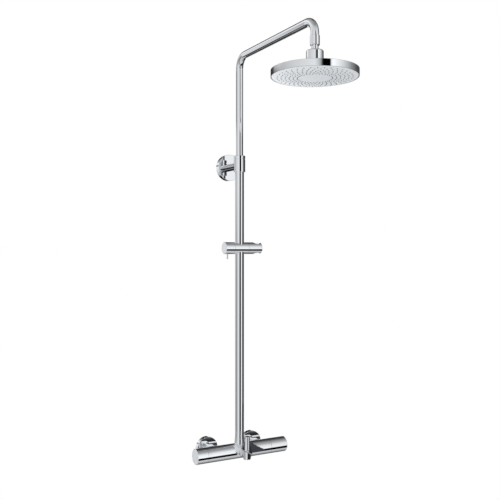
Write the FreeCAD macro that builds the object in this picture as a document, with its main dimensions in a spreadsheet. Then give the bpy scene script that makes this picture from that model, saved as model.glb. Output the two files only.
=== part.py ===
import FreeCAD, Part
import math
import os
import re

import Sketcher

# Thermostatic bath and shower column with a swivelling arm and a rainfall head.
#
# Frame: origin on the wall, midway between the two water inlets.  +Z is up, +Y points into
# the wall and +X is to the right of somebody who faces it.  All lengths are in millimetres.

Vector = FreeCAD.Vector

doc = FreeCAD.newDocument("ShowerColumn")
sheet = doc.addObject("Spreadsheet::Sheet", "Sizes")

SIZES = {
    # clearances
    "runClear": (0.05, "radial clearance of a shaft that turns or slides in its bore"),
    "seatClear": (0.05, "radial clearance of a piece that sits still in its seat"),
    "partGap": (0.5, "gap seen between two pieces that move past each other"),
    # wall connections
    "inletSpacing": (150, "distance between the two water inlets"),
    "barReach": (78, "wall to the axis of the mixer bar and of the column"),
    "wallThreadRadius": (10.45, "half-inch pipe thread that screws into the wall"),
    "wallThreadLength": (16, "length of that thread"),
    "connectorNeck": (12, "outer radius of the wall connector's neck"),
    "connectorBore": (8, "waterway radius through a wall connector"),
    "nutRoom": (17.5, "room for the union nut between a connector's face and the bar"),
    "unionThread": (13.2, "three-quarter-inch thread radius under the union nut"),
    "washerThickness": (2, "rubber washer between connector and mixer"),
    "nutWall": (1.8, "wall of a union nut at its flats"),
    "nutLength": (18, "length of a union nut"),
    "nutLip": (5, "thickness of the union nut's inner lip"),
    "rosetteRadius": (33.5, "rosette of a water inlet"),
    "rosetteDepth": (14, "wall to the front of that rosette"),
    "rosetteWall": (1.6, "sheet thickness of every rosette"),
    "edgeBevel": (0.8, "bevel at the visible edge of a turned piece"),
    "neckShoulder": (2, "shoulder of a wall connector beyond its neck"),
    "threadLength": (12, "length of the connector's thread under the union nut"),
    # mixer bar
    "barRadius": (22.5, "mixer bar and its two handles"),
    "bodyLeft": (111, "centre to the temperature handle's seam"),
    "bodyRight": (98, "centre to the flow handle's seam"),
    "temperatureLength": (34, "length of the temperature handle"),
    "flowLength": (56, "length of the flow handle"),
    "thermostatWall": (5, "bar's wall around the thermostat chamber"),
    "thermostatDepth": (71, "depth of the thermostat chamber"),
    "valveWall": (9, "bar's wall around the flow valve chamber"),
    "valveDepth": (50, "depth of the flow valve chamber"),
    "mixedWall": (7.5, "bar's wall around the mixed water chamber"),
    "mixedHalf": (30, "half the length of the mixed water chamber"),
    "waterway": (8, "radius of the passages inside the mixer"),
    "inletShank": (11, "outer radius of the mixer's inlet spigots"),
    "inletFlange": (12.8, "flange that a union nut pulls on"),
    "flangeThickness": (3, "thickness of that flange"),
    "bossLedge": (0.2, "pedestal beyond the base nut"),
    "padRise": (0.5, "pedestal and hose pad beyond the bar's skin"),
    "hoseSide": (25, "centre to the hose outlet, to the right"),
    "hoseThread": (10.4, "half-inch thread of the hose outlet"),
    "hosePad": (12.5, "flat pad around the hose outlet"),
    "hoseLength": (7, "length of the hose outlet's thread"),
    "hoseBore": (6.5, "waterway radius of the hose outlet"),
    "rootDepth": (4.5, "how deep the pieces on the bar's wall are rooted in it"),
    # handles
    "handleWall": (2.5, "wall of a handle's sleeve"),
    "handleBevel": (1.3, "bevel at a handle's outer end"),
    "handleCap": (3, "thickness of a handle's end cap"),
    "capInset": (0.2, "end cap behind the sleeve's end"),
    "hubStation": (18, "seam to the hub inside a handle"),
    "hubThickness": (4, "thickness of that hub's web"),
    "hubBoss": (7, "radius of the hub's boss"),
    "spindleRadius": (4, "spindle of a cartridge"),
    "spindleDepth": (12, "spindle inside its cartridge"),
    "neckLength": (10, "cartridge neck that stands out of the mixer"),
    "neckRadius": (9, "radius of that neck"),
    "stopGap": (3, "gap between a stop ring and its handle"),
    "stopThickness": (5, "thickness of a stop ring"),
    "buttonLength": (8, "stop button along the bar"),
    "buttonWidth": (6.5, "stop button around the bar"),
    "buttonHeight": (2.2, "height of a stop button"),
    "buttonTravel": (1.2, "how far a stop button is pressed in"),
    "buttonGap": (0.3, "gap around a stop button"),
    "buttonTilt": (24, "stop buttons above the bar's front line, in degrees"),
    "cartridgeSink": (2, "cartridge's shoulder behind the seam"),
    "cartridgeNose": (5, "length of a cartridge's narrow nose"),
    "noseGap": (3, "bottom of a chamber to the cartridge's nose"),
    "noseStep": (1.8, "how much slimmer that nose is than the cartridge"),
    "cartridgeGap": (0.2, "gap around a cartridge in its chamber"),
    "collarLength": (2, "length of the collar that keeps a spindle in its hub"),
    # spout and diverter
    "spoutHalf": (28, "half the spout's width where it leaves the bar"),
    "spoutBack": (11, "bar axis forward to the spout's back corners"),
    "spoutLength": (56.5, "spout's tip in front of the bar"),
    "spoutRise": (1.4, "spout's back edge above the bar's skin"),
    "spoutTipTop": (8.6, "bar axis up to the spout's tip"),
    "spoutPlate": (3.6, "thickness of the spout's top plate"),
    "skirtLength": (14.5, "skirt in front of the bar"),
    "spoutDrop": (9.5, "bar axis down to the bottom of that skirt"),
    "spoutWaist": (16, "half the skirt's width below its leaning flanks"),
    "spoutLeanTop": (9, "bar axis up to where the flanks begin to lean inwards"),
    "spoutLeanFoot": (6, "bar axis down to where they stand upright again"),
    "skirtBevel": (4, "bevel at the skirt's foot"),
    "spoutBore": (5.5, "radius of the spout's waterway"),
    "spoutBoreHeight": (1, "bar axis up to that waterway"),
    "outletLength": (26, "aerator and diverter in front of the bar"),
    "aeratorTop": (11, "aerator housing's radius under the plate"),
    "aeratorFoot": (10.2, "aerator housing's radius at its foot"),
    "aeratorShow": (1.5, "how far the aerator stands out of its housing"),
    "housingWall": (1.3, "wall of the housing's foot"),
    "aeratorGap": (1.3, "aerator's seat below the closed diverter"),
    "aeratorLength": (7, "length of the aerator"),
    "aeratorWall": (1.4, "wall of the aerator's ring"),
    "seatLedge": (0.9, "ledge that the aerator stops against"),
    "roomCeiling": (4.5, "ceiling of the diverter's chamber under the pull knob"),
    "diverterTravel": (10, "how far the diverter is pulled up"),
    "discGap": (0.9, "gap for water around the diverter's disc"),
    "discThickness": (3, "thickness of that disc"),
    "diverterRod": (2.5, "radius of the diverter's rod"),
    "diverterSeal": (1.5, "thickness of the diverter's rubber"),
    "knobRadius": (7.3, "radius of the pull knob"),
    "knobSink": (0.7, "how deep the pull knob sits in the spout's top"),
    "knobLength": (38.5, "length of the pull knob"),
    # column
    "tubeRadius": (13.2, "outer radius of the lower tube"),
    "tubeWall": (1.5, "wall of the lower tube"),
    "tubeAbove": (18.3, "lower tube above the bracket's axis"),
    "nutHeight": (13, "height of the base nut and of the spigot in it"),
    "flareWidth": (1.4, "base nut's foot beyond the tube"),
    "nutWall": (0.9, "base nut beyond the tube near its top"),
    "nutLip": (0.3, "how much the base nut draws in at its very top"),
    "sealHeight": (2, "height of the rubber ring on the spigot"),
    # wall bracket
    "bracketHeight": (847.7, "bar axis up to the bracket"),
    "plateRosette": (39.7, "radius of the bracket's rosette"),
    "plateRosetteDepth": (17, "wall to the front of that rosette"),
    "plateInset": (7.7, "wall plate inside its rosette"),
    "wallPlateThickness": (5, "thickness of the wall plate"),
    "wallBossWall": (4.5, "wall of the wall plate's boss"),
    "wallBossDepth": (13, "wall to the front of that boss"),
    "screwHole": (2.75, "radius of those holes"),
    "armRodRadius": (11.5, "radius of the bracket's rod"),
    "armRodBack": (2, "wall to the back of that rod"),
    "collarWall": (3.8, "bracket's collar beyond the tube, liner included"),
    "collarBelow": (19.7, "collar below the rod's axis"),
    "linerWall": (0.9, "wall of the collar's plastic liner"),
    "grubRadius": (2.5, "radius of the grub screw"),
    "ringBottom": (20.3, "rod's axis up to the swivel ring"),
    "ringTop": (28.8, "rod's axis up to the top of the swivel ring"),
    "grooveDepth": (1.5, "depth of the groove under the swivel ring"),
    # shower arm
    "pipeStep": (2.6, "how much slimmer the pipe is than the tube"),
    "pipeWall": (1.5, "wall of that pipe"),
    "pipeDepth": (58, "length of the pipe inside the lower tube"),
    "armHeight": (1170, "bar axis up to the arm's horizontal run"),
    "armReach": (400, "column axis forward to the head's axis"),
    "bendRadius": (35, "centreline radius of the pipe's bends"),
    "nutFloor": (8, "pipe's outer end above the foot of its nut"),
    "bushLength": (30, "length of the swivel bush"),
    "ringHeight": (1.6, "height of a rubber ring on the pipe"),
    "ringPitch": (8, "distance between the two rubber rings"),
    # ball joint
    "armNutWall": (1.6, "nut at the pipe's outer end beyond the pipe"),
    "armNutLength": (25, "length of that nut"),
    "neckRise": (29.5, "ball's centre up to that nut"),
    "stubStep": (1.6, "how much slimmer the ball stub's neck is than the pipe"),
    "stubBore": (5, "waterway radius of the ball stub"),
    "ballRadius": (14.5, "radius of the ball"),
    "ballDrop": (95.5, "arm's horizontal run down to the ball's centre"),
    "seatWall": (1.95, "wall of the seat ring around the ball"),
    "seatHalf": (7.5, "half the height of the seat ring"),
    # head
    "headDrop": (48.5, "ball's centre down to the edge of the spray face"),
    "headRadius": (110, "radius of the head"),
    "rimHeight": (17, "height of the head's rim"),
    "shellWall": (2, "wall of the head's shell"),
    "headRise": (26, "face edge up to the foot of the head's collar"),
    "headCollarWall": (7.3, "head's collar beyond the ball"),
    "collarCover": (17, "collar above the ball's centre"),
    "collarRounding": (3.4, "rounding of the collar's shoulder"),
    "mouthGap": (0.8, "gap around the neck's opening in the collar"),
    "collarLip": (9, "ball's centre up to the narrowest place of that opening"),
    "spigotWall": (3.4, "head's spigot beyond the ball"),
    "spigotBelow": (10, "ball's centre down to the top of that spigot"),
    "plateGap": (0.1, "gap around the spray plate"),
    "plateThickness": (4, "face edge up to the back of the spray plate"),
    "faceBulge": (4, "how far the spray face bulges at its centre"),
    "airHoleCircle": (36, "circle of the four air holes"),
    "airHole": (1.8, "radius of an air hole"),
    "gasketWidth": (7, "width of the gasket"),
    "gasketHeight": (2, "height of the gasket"),
    "distributorHeight": (3, "thickness of the distributor plate"),
    "nozzleRadius": (1.4, "nozzle at its root"),
    "nozzleTip": (0.9, "nozzle at its tip"),
    "nozzleLength": (1.6, "length of a nozzle"),
    "nozzleInner": (44, "radius of the innermost nozzle ring"),
    "nozzleMargin": (13.9, "outermost nozzle ring inside the plate's edge"),
    "nozzleRings": (6, "number of nozzle rings"),
    "nozzlesPerRing": (36, "nozzles in each ring"),
    "nozzleTwist": (4, "turn of each nozzle ring against the one inside it, in degrees"),
    # slider
    "sliderHeight": (602, "bar axis up to the slider"),
    "sliderWall": (4.3, "slider beyond the tube"),
    "leftShoulder": (5.5, "slider's body beyond its radius on the left"),
    "rightShoulder": (6.5, "slider's body beyond its radius on the right"),
    "clampLength": (28.5, "length of the clamp knob"),
    "holderLength": (45, "length of the handset holder"),
    "sliderBevel": (0.8, "bevel at the slider's ends"),
    "bushWall": (0.75, "wall of the slider's bush"),
    "bushHalf": (9, "half the height of the slider's bush"),
    "clampScrew": (3, "radius of the clamp screw"),
    "screwLength": (17, "clamp screw beyond the clamp knob's seam"),
    "leverRadius": (2, "radius of the lever pin"),
    "leverOffset": (17.5, "clamp knob's seam to the lever pin"),
    "leverLength": (15, "lever pin below the knob"),
    "leverSeat": (5.5, "lever pin inside the knob"),
    "pivotHead": (6, "radius of the holder pivot's head"),
    "pivotHeadThickness": (3, "thickness of that head"),
    "pivotRadius": (4, "radius of the holder's pivot"),
    "pivotLength": (10, "pivot beyond the holder's seam"),
    "socketOffset": (31, "holder's seam to the axis of the handset socket"),
    "socketTop": (11.2, "radius of the handset socket at its top"),
    "socketFoot": (10.2, "radius of the handset socket at its foot"),
    "socketLiner": (1.1, "wall of the socket's liner"),
    "socketSlot": (15, "width of the slot that lets the hose in"),
}

# Sizes and places that follow from the ones above, as expressions.
DERIVED = {
    "connectorLength": ("barReach - barRadius - nutRoom", "wall to the front face of a wall connector"),
    "nutFlats": ("2 * (unionThread + nutWall)", "union nut across its flats"),
    "thermostatBore": ("barRadius - thermostatWall", "radius of the thermostat chamber"),
    "valveBore": ("barRadius - valveWall", "radius of the flow valve chamber"),
    "mixedBore": ("barRadius - mixedWall", "radius of the mixed water chamber"),
    "bossRadius": ("nutFlare + bossLedge", "pedestal under the column"),
    "bossTop": ("barRadius + padRise", "bar axis to the top of that pedestal"),
    "hosePadDrop": ("barRadius + padRise", "bar axis down to the face of that pad"),
    "wallRoot": ("barRadius - rootDepth", "bar axis to where the pieces on its wall begin"),
    "handleBore": ("barRadius - handleWall", "inner radius of a handle's sleeve"),
    "stopRing": ("handleBore - stopGap", "outer radius of a stop ring"),
    "spoutTip": ("barRadius + spoutLength", "bar axis forward to the spout's tip"),
    "spoutBackTop": ("sqrt(barRadius^2 - spoutBack^2) + spoutRise",
                     "bar axis up to the spout's back edge"),
    "spoutFall": ("(spoutBackTop - spoutTipTop) / (spoutTip - spoutBack)",
                  "fall of the spout's top per millimetre"),
    "spoutSkirt": ("barRadius + skirtLength",
                   "bar axis forward to the front of the skirt under the plate"),
    "aeratorReach": ("barRadius + outletLength", "bar axis forward to the aerator and the diverter"),
    "housingDrop": ("aeratorDrop - aeratorShow", "bar axis down to the housing's foot"),
    "aeratorBore": ("aeratorFoot - housingWall", "bore for the aerator"),
    "aeratorDrop": ("aeratorLength - diverterFoot + aeratorGap", "bar axis down to the aerator's foot"),
    "valveRoom": ("aeratorBore - seatLedge", "radius of the diverter's chamber"),
    "valveRoomTop": ("knobFoot - roomCeiling", "bar axis up to that chamber's ceiling"),
    "diverterDisc": ("valveRoom - discGap", "radius of the diverter's disc"),
    "diverterFoot": ("valveRoomTop - partGap - diverterTravel - diverterSeal - discThickness",
                     "bar axis to the bottom of the diverter's disc"),
    "knobFoot": ("spoutTipTop + spoutFall * (spoutTip - aeratorReach) - knobSink",
                 "bar axis up to the pull knob"),
    "knobTop": ("knobFoot + knobLength", "bar axis up to the top of the pull knob"),
    "tubeTop": ("bracketHeight + tubeAbove", "bar axis up to the end of the lower tube"),
    "spigotTop": ("bossTop + nutHeight", "bar axis up to the end of the mixer's spigot"),
    "nutTop": ("bossTop + nutHeight", "bar axis up to the end of the base nut"),
    "nutFlare": ("tubeRadius + flareWidth", "radius of the base nut where it stands on its pedestal"),
    "wallPlate": ("plateRosette - plateInset", "radius of the wall plate"),
    "wallBoss": ("armRodRadius + wallBossWall", "radius of the wall plate's boss"),
    "screwSpacing": ("wallPlate + wallBoss", "distance between the wall plate's screw holes"),
    "collarRadius": ("tubeRadius + collarWall", "radius of the bracket's collar"),
    "ringNeck": ("collarRadius - grooveDepth", "radius of the groove under the swivel ring"),
    "pipeRadius": ("tubeRadius - pipeStep", "outer radius of the shower arm's pipe"),
    "pipeStart": ("tubeTop - pipeDepth", "bar axis up to the pipe's lower end"),
    "bushBottom": ("tubeTop - bushLength", "bar axis up to the swivel bush"),
    "pipeEnd": ("armNutBottom + nutFloor", "bar axis up to the pipe's outer end"),
    "armNutRadius": ("pipeRadius + armNutWall", "radius of the nut at the pipe's outer end"),
    "armNutTop": ("armNutBottom + armNutLength", "bar axis up to the top of that nut"),
    "armNutBottom": ("ballHeight + neckRise", "bar axis up to the foot of that nut"),
    "stubNeck": ("pipeRadius - stubStep", "radius of the ball stub's neck"),
    "ballHeight": ("armHeight - ballDrop", "bar axis up to the ball's centre"),
    "faceHeight": ("ballHeight - headDrop", "bar axis up to the edge of the spray face"),
    "headCollar": ("ballRadius + headCollarWall", "radius of the head's collar"),
    "collarTop": ("headDrop + collarCover", "face edge up to the top of the head's collar"),
    "collarMouth": ("ballRadius + mouthGap", "opening at the top of the collar"),
    "spigotRadius": ("ballRadius + spigotWall", "spigot of the head inside its collar"),
    "spigotHeight": ("headDrop - spigotBelow", "face edge up to the top of that spigot"),
    "plateRadius": ("headRadius - shellWall - plateGap", "radius of the spray plate"),
    "nozzleOuter": ("plateRadius - nozzleMargin", "radius of the outermost nozzle ring"),
    "sliderRadius": ("tubeRadius + sliderWall", "radius of the slider's three pieces"),
    "sliderLeft": ("sliderRadius + leftShoulder", "column axis to the clamp knob's seam"),
    "sliderRight": ("sliderRadius + rightShoulder", "column axis to the holder's seam"),
    "clampScrewEnd": ("sliderLeft + screwLength", "column axis to the clamp screw's outer end"),
    "leverStation": ("sliderLeft + leverOffset", "column axis to the lever pin"),
    "pivotEnd": ("sliderRight + pivotLength", "column axis to the end of the pivot"),
    "socketReach": ("sliderRight + socketOffset", "column axis to the axis of the handset socket"),
}

for row, (alias, (size, meaning)) in enumerate(SIZES.items(), start=1):
    sheet.set(f"A{row}", meaning)
    sheet.set(f"B{row}", str(size))
    sheet.setAlias(f"B{row}", alias)
doc.recompute()

DIRECTIONS = {
    "+X": FreeCAD.Rotation(Vector(0, 1, 0), 90),
    "-X": FreeCAD.Rotation(Vector(0, 1, 0), -90),
    "+Y": FreeCAD.Rotation(Vector(1, 0, 0), -90),
    "-Y": FreeCAD.Rotation(Vector(1, 0, 0), 90),
    "+Z": FreeCAD.Rotation(),
    "-Z": FreeCAD.Rotation(Vector(1, 0, 0), 180),
}
COLUMN = ("0", "-barReach", "0")
NODES = []


# %% Expressions

def in_sheet(expression):
    """The expression with every derived size worked out and every driving size read from the sheet."""
    def looked_up(word):
        if word[0] in DERIVED:
            return f"({in_sheet(DERIVED[word[0]][0])})"
        return f"Sizes.{word[0]}" if word[0] in SIZES else word[0]

    return re.sub(r"[A-Za-z]\w*", looked_up, str(expression))


def number(expression):
    return float(sheet.evalExpression(in_sheet(expression)))


def bind(thing, **sizes):
    for name, expression in sizes.items():
        thing.setExpression(name, in_sheet(expression))


def place(thing, at, along="+Z"):
    """Turns a thing's own +Z to `along` and ties its origin to three expressions."""
    thing.Placement = FreeCAD.Placement(Vector(*[number(part) for part in at]), DIRECTIONS[along])
    for axis, expression in zip("xyz", at):
        thing.setExpression(f"Placement.Base.{axis}", in_sheet(expression))
    return thing


def column_at(height):
    return "0", "-barReach", height


# %% Sketches

def start_body(name):
    return doc.addObject("PartDesign::Body", name)


def start_sketch(body, plane):
    sketch = body.newObject("Sketcher::SketchObject", f"{body.Name}_sketch")
    planes = {feature.Role: feature for feature in body.Origin.OriginFeatures}
    sketch.AttachmentSupport = (planes[plane], "")
    sketch.MapMode = "FlatFace"
    return sketch


def arc_between(start, end, radius, side):
    """The short arc whose centre lies to the `side` of the way from start to end."""
    chord = end - start
    normal = Vector(-chord.y, chord.x, 0).normalize() * (1 if side == "left" else -1)
    rise = math.sqrt(max(radius ** 2 - (chord.Length / 2) ** 2, 0))
    centre = (start + end) / 2 + normal * rise
    return Part.Arc(start, centre - normal * radius, end)


def trace(sketch, corners, closed=True):
    """Joins the corners with lines, or with arcs that leave a corner given as (x, y, radius, side)."""
    points = [Vector(number(corner[0]), number(corner[1]), 0) for corner in corners]
    count = len(corners) if closed else len(corners) - 1
    ends = []
    for index in range(count):
        start, end = points[index], points[(index + 1) % len(points)]
        corner = corners[index]
        if len(corner) == 4:
            edge = sketch.addGeometry(arc_between(start, end, number(corner[2]), corner[3]))
            tied = sketch.addConstraint(Sketcher.Constraint("Radius", edge, number(corner[2])))
            sketch.setExpression(f"Constraints[{tied}]", in_sheet(corner[2]))
        else:
            edge = sketch.addGeometry(Part.LineSegment(start, end))
        forward = (sketch.getPoint(edge, 1) - start).Length < (sketch.getPoint(edge, 2) - start).Length
        ends.append((edge, 1, 2) if forward else (edge, 2, 1))
    for index in range(count if closed else count - 1):
        edge, _, last = ends[index]
        following, first, _ = ends[(index + 1) % count]
        sketch.addConstraint(Sketcher.Constraint("Coincident", edge, last, following, first))
    for index, corner in enumerate(corners):
        edge, point = (ends[index][0], ends[index][1]) if index < count else (ends[-1][0], ends[-1][2])
        for kind, expression in zip(("DistanceX", "DistanceY"), corner):
            tied = sketch.addConstraint(
                Sketcher.Constraint(kind, -1, 1, edge, point, number(expression)))
            sketch.setExpression(f"Constraints[{tied}]", in_sheet(expression))
    return sketch


def add_circle(sketch, radius, x="0", y="0"):
    centre = Vector(number(x), number(y), 0)
    edge = sketch.addGeometry(Part.Circle(centre, Vector(0, 0, 1), number(radius)))
    for constraint, expression in (
            (Sketcher.Constraint("Radius", edge, number(radius)), radius),
            (Sketcher.Constraint("DistanceX", -1, 1, edge, 3, centre.x), x),
            (Sketcher.Constraint("DistanceY", -1, 1, edge, 3, centre.y), y)):
        tied = sketch.addConstraint(constraint)
        sketch.setExpression(f"Constraints[{tied}]", in_sheet(expression))


# %% Solids

def turned(name, outline, at, along="+Z"):
    """A turned piece: its outline is a list of (radius, station) about its own Z axis."""
    body = start_body(name)
    sketch = trace(start_sketch(body, "XZ_Plane"), outline)
    turn = body.newObject("PartDesign::Revolution", f"{name}_turn")
    turn.Profile = sketch
    turn.ReferenceAxis = (sketch, ["V_Axis"])
    turn.Angle = 360
    return place(body, at, along)


def ring(name, inner, outer, low, high, at, along="+Z"):
    return turned(name, [(inner, low), (outer, low), (outer, high), (inner, high)], at, along)


def disc(name, radius, low, high, at, along="+Z"):
    return turned(name, [("0", low), (radius, low), (radius, high), ("0", high)], at, along)


def padded(name, plane, corners, length, at, along="+Z", midplane=False):
    """A plate or prism: a closed outline on one of the body's planes, pushed out by `length`."""
    body = start_body(name)
    sketch = trace(start_sketch(body, plane), corners)
    pad = body.newObject("PartDesign::Pad", f"{name}_pad")
    pad.Profile = sketch
    pad.SideType = "Symmetric" if midplane else "One side"
    bind(pad, Length=length)
    return place(body, at, along)


def rod(name, radius, length, at, along="+Z"):
    solid = doc.addObject("Part::Cylinder", name)
    bind(solid, Radius=radius, Height=length)
    return place(solid, at, along)


def taper(name, foot, top, length, at, along="+Z"):
    solid = doc.addObject("Part::Cone", name)
    bind(solid, Radius1=foot, Radius2=top, Height=length)
    return place(solid, at, along)


def block(name, sizes, at):
    solid = doc.addObject("Part::Box", name)
    bind(solid, Length=sizes[0], Width=sizes[1], Height=sizes[2])
    return place(solid, at)


def joined(name, *solids):
    fusion = doc.addObject("Part::MultiFuse", name)
    fusion.Shapes = list(solids)
    return fusion


def cut(name, solid, *tools):
    result = doc.addObject("Part::Cut", name)
    result.Base = solid
    result.Tool = tools[0] if len(tools) == 1 else joined(f"{name}_tools", *tools)
    return result


def shared(name, one, other):
    result = doc.addObject("Part::Common", name)
    result.Base = one
    result.Tool = other
    return result


def group(name, *solids):
    result = doc.addObject("Part::Compound", name)
    result.Links = list(solids)
    return result


def node(label, solid):
    """Names a finished sub-part; the label is also its file's name."""
    solid.Label = label
    NODES.append(solid)
    return solid


def round_edge(body, radius, edge_radius, edge_height):
    """Rounds the circular edge of the given radius and height, in the body's own frame."""
    doc.recompute()
    base = body.Tip
    for index, edge in enumerate(base.Shape.Edges, start=1):
        circle = edge.Curve
        if (isinstance(circle, Part.Circle) and abs(circle.Radius - number(edge_radius)) < 1e-4
                and abs(circle.Center.z - number(edge_height)) < 1e-4):
            break
    else:
        raise ValueError(f"{body.Name} has no such edge to round")
    fillet = body.newObject("PartDesign::Fillet", f"{body.Name}_rounding")
    fillet.Base = (base, [f"Edge{index}"])
    bind(fillet, Radius=radius)
    body.Tip = fillet


# %% Wall connections: connector, washer, union nut, check valve and rosette on each side

SIDES = {"left": "-inletSpacing / 2", "right": "inletSpacing / 2"}


def wall_connections():
    washers, check_valves = [], []
    for side, across in SIDES.items():
        wall = (across, "0", "0")
        connector = turned(f"connector_{side}", [
            ("connectorBore", "-wallThreadLength"),
            ("wallThreadRadius", "-wallThreadLength"),
            ("wallThreadRadius", "0"),
            ("connectorNeck + neckShoulder", "0"),
            ("connectorNeck + neckShoulder", "rosetteDepth - rosetteWall - 1"),
            ("connectorNeck", "rosetteDepth - rosetteWall - 1"),
            ("connectorNeck", "connectorLength - threadLength"),
            ("unionThread", "connectorLength - threadLength"),
            ("unionThread", "connectorLength"),
            ("connectorBore", "connectorLength"),
        ], wall, "-Y")
        node(f"wall_connector_{side}", connector)

        face = "connectorLength + washerThickness"
        washers.append(ring(f"washer_{side}", "connectorBore", "unionThread - 0.8",
                            "connectorLength", face, wall, "-Y"))

        flange_back = f"{face} + flangeThickness"
        nut_end = f"{flange_back} + nutLip"
        hexagon = [(f"{x} * nutFlats / sqrt(3)", f"{y} * nutFlats / 2") for x, y in
                   ((1, 0), (0.5, 1), (-0.5, 1), (-1, 0), (-0.5, -1), (0.5, -1))]
        blank = padded(f"nut_blank_{side}", "XY_Plane", hexagon, "nutLength",
                       (across, f"-({nut_end} - nutLength)", "0"), "-Y")
        bevel = turned(f"nut_bevel_{side}", [
            ("0", f"{nut_end} - nutLength"),
            ("nutFlats / 2 + 0.6", f"{nut_end} - nutLength"),
            ("nutFlats / sqrt(3) + 0.1", f"{nut_end} - nutLength + 1.6"),
            ("nutFlats / sqrt(3) + 0.1", f"{nut_end} - 1.6"),
            ("nutFlats / 2 + 0.6", nut_end),
            ("0", nut_end),
        ], wall, "-Y")
        thread = rod(f"nut_thread_{side}", "unionThread + seatClear", "nutLength - nutLip",
                     (across, f"-({nut_end} - nutLength)", "0"), "-Y")
        hole = rod(f"nut_hole_{side}", "inletShank + 0.2", "nutLength + 2",
                   (across, f"-({nut_end} - nutLength - 1)", "0"), "-Y")
        node(f"union_nut_{side}", cut(f"nut_{side}", shared(f"nut_solid_{side}", blank, bevel),
                                      thread, hole))

        node(f"rosette_{side}", rosette(f"cup_{side}", "rosetteRadius", "rosetteDepth",
                                        "connectorNeck + seatClear", wall))

        check_valves.append(turned(f"check_{side}", [
            ("3", f"{face} + 1"),
            ("connectorBore - seatClear", f"{face} + 1"),
            ("connectorBore - seatClear", f"{face} + 10"),
            ("5", f"{face} + 13"),
            ("3", f"{face} + 13"),
        ], wall, "-Y"))
    node("inlet_washers", group("washers", *washers))
    node("check_valves", group("checks", *check_valves))


def rosette(name, radius, depth, hole, at):
    """A cup that is open towards the wall, with a hole for what passes through it."""
    return turned(name, [
        (radius, "0"),
        (radius, f"{depth} - edgeBevel"),
        (f"{radius} - edgeBevel", depth),
        (hole, depth),
        (hole, f"{depth} - rosetteWall"),
        (f"{radius} - rosetteWall", f"{depth} - rosetteWall"),
        (f"{radius} - rosetteWall", "0"),
    ], at, "-Y")


# %% Mixer body

def button_box(name, side, grow, low, high):
    """A box beside a seam, grown by `grow` all round, between two distances from the bar's axis.

    It is tipped about the bar, from the bar's front line upwards.
    """
    box = doc.addObject("Part::Box", name)
    bind(box, Length=f"buttonLength + 2 * ({grow})", Width=f"({high}) - ({low})",
         Height=f"buttonWidth + 2 * ({grow})")
    start = "-bodyLeft + 0.2" if side == "left" else "bodyRight - 0.2 - buttonLength"
    half = f"(buttonWidth / 2 + ({grow}))"
    box.Placement.Rotation = FreeCAD.Rotation(Vector(-1, 0, 0), number("buttonTilt"))
    bind(box, **{
        "Placement.Rotation.Angle": "buttonTilt",
        "Placement.Base.x": f"{start} - ({grow})",
        "Placement.Base.y": f"-barReach - ({high}) * cos(buttonTilt) - {half} * sin(buttonTilt)",
        "Placement.Base.z": f"({high}) * sin(buttonTilt) - {half} * cos(buttonTilt)",
    })
    return box


def mixer_body():
    bar = turned("bar_casting", [
        ("barRadius", "-bodyLeft"),
        ("barRadius", "bodyRight"),
        ("valveBore", "bodyRight"),
        ("valveBore", "bodyRight - valveDepth"),
        ("waterway", "bodyRight - valveDepth"),
        ("waterway", "thermostatDepth - bodyLeft"),
        ("thermostatBore", "thermostatDepth - bodyLeft"),
        ("thermostatBore", "-bodyLeft"),
    ], COLUMN, "+X")
    front = "(barReach - connectorLength - washerThickness)"
    solids = [bar]
    tools = [rod("mixed_chamber", "mixedBore", "2 * mixedHalf", ("-mixedHalf", "-barReach", "0"), "+X")]
    for side, across in SIDES.items():
        solids.append(rod(f"inlet_shank_{side}", "inletShank", f"{front} - wallRoot",
                          (across, "-barReach + wallRoot", "0"), "+Y"))
        solids.append(rod(f"inlet_flange_{side}", "inletFlange", "flangeThickness",
                          (across, f"-barReach + {front} - flangeThickness", "0"), "+Y"))
        tools.append(rod(f"inlet_bore_{side}", "connectorBore", f"{front} + 1",
                         (across, "-barReach", "0"), "+Y"))
    solids.append(rod("column_boss", "bossRadius", "bossTop - barRadius / 2",
                      column_at("barRadius / 2")))
    solids.append(rod("column_spigot", "tubeRadius - tubeWall - seatClear", "spigotTop - wallRoot",
                      column_at("wallRoot")))
    tools.append(rod("column_bore", "waterway", "spigotTop + 1", COLUMN))
    pad = ("hoseSide", "-barReach", "-wallRoot")
    solids.append(rod("hose_pad", "hosePad", "hosePadDrop - wallRoot", pad, "-Z"))
    solids.append(rod("hose_thread", "hoseThread", "hosePadDrop + hoseLength - wallRoot", pad, "-Z"))
    tools.append(rod("hose_bore", "hoseBore", "hosePadDrop + hoseLength + 1",
                     ("hoseSide", "-barReach", "0"), "-Z"))
    tools.append(rod("spout_feed", "spoutBore", "barRadius + 2", column_at("spoutBoreHeight"), "-Y"))
    for side in SIDES:
        tools.append(button_box(f"button_pocket_{side}", side, "buttonGap",
                                "barRadius - buttonHeight - buttonTravel - buttonGap",
                                "barRadius + 2"))
    node("mixer_body", cut("mixer", joined("mixer_casting", *solids), *tools))


# %% Handles: each with its cartridge, stop ring, hub, spindle, sleeve, cap and stop button

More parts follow.
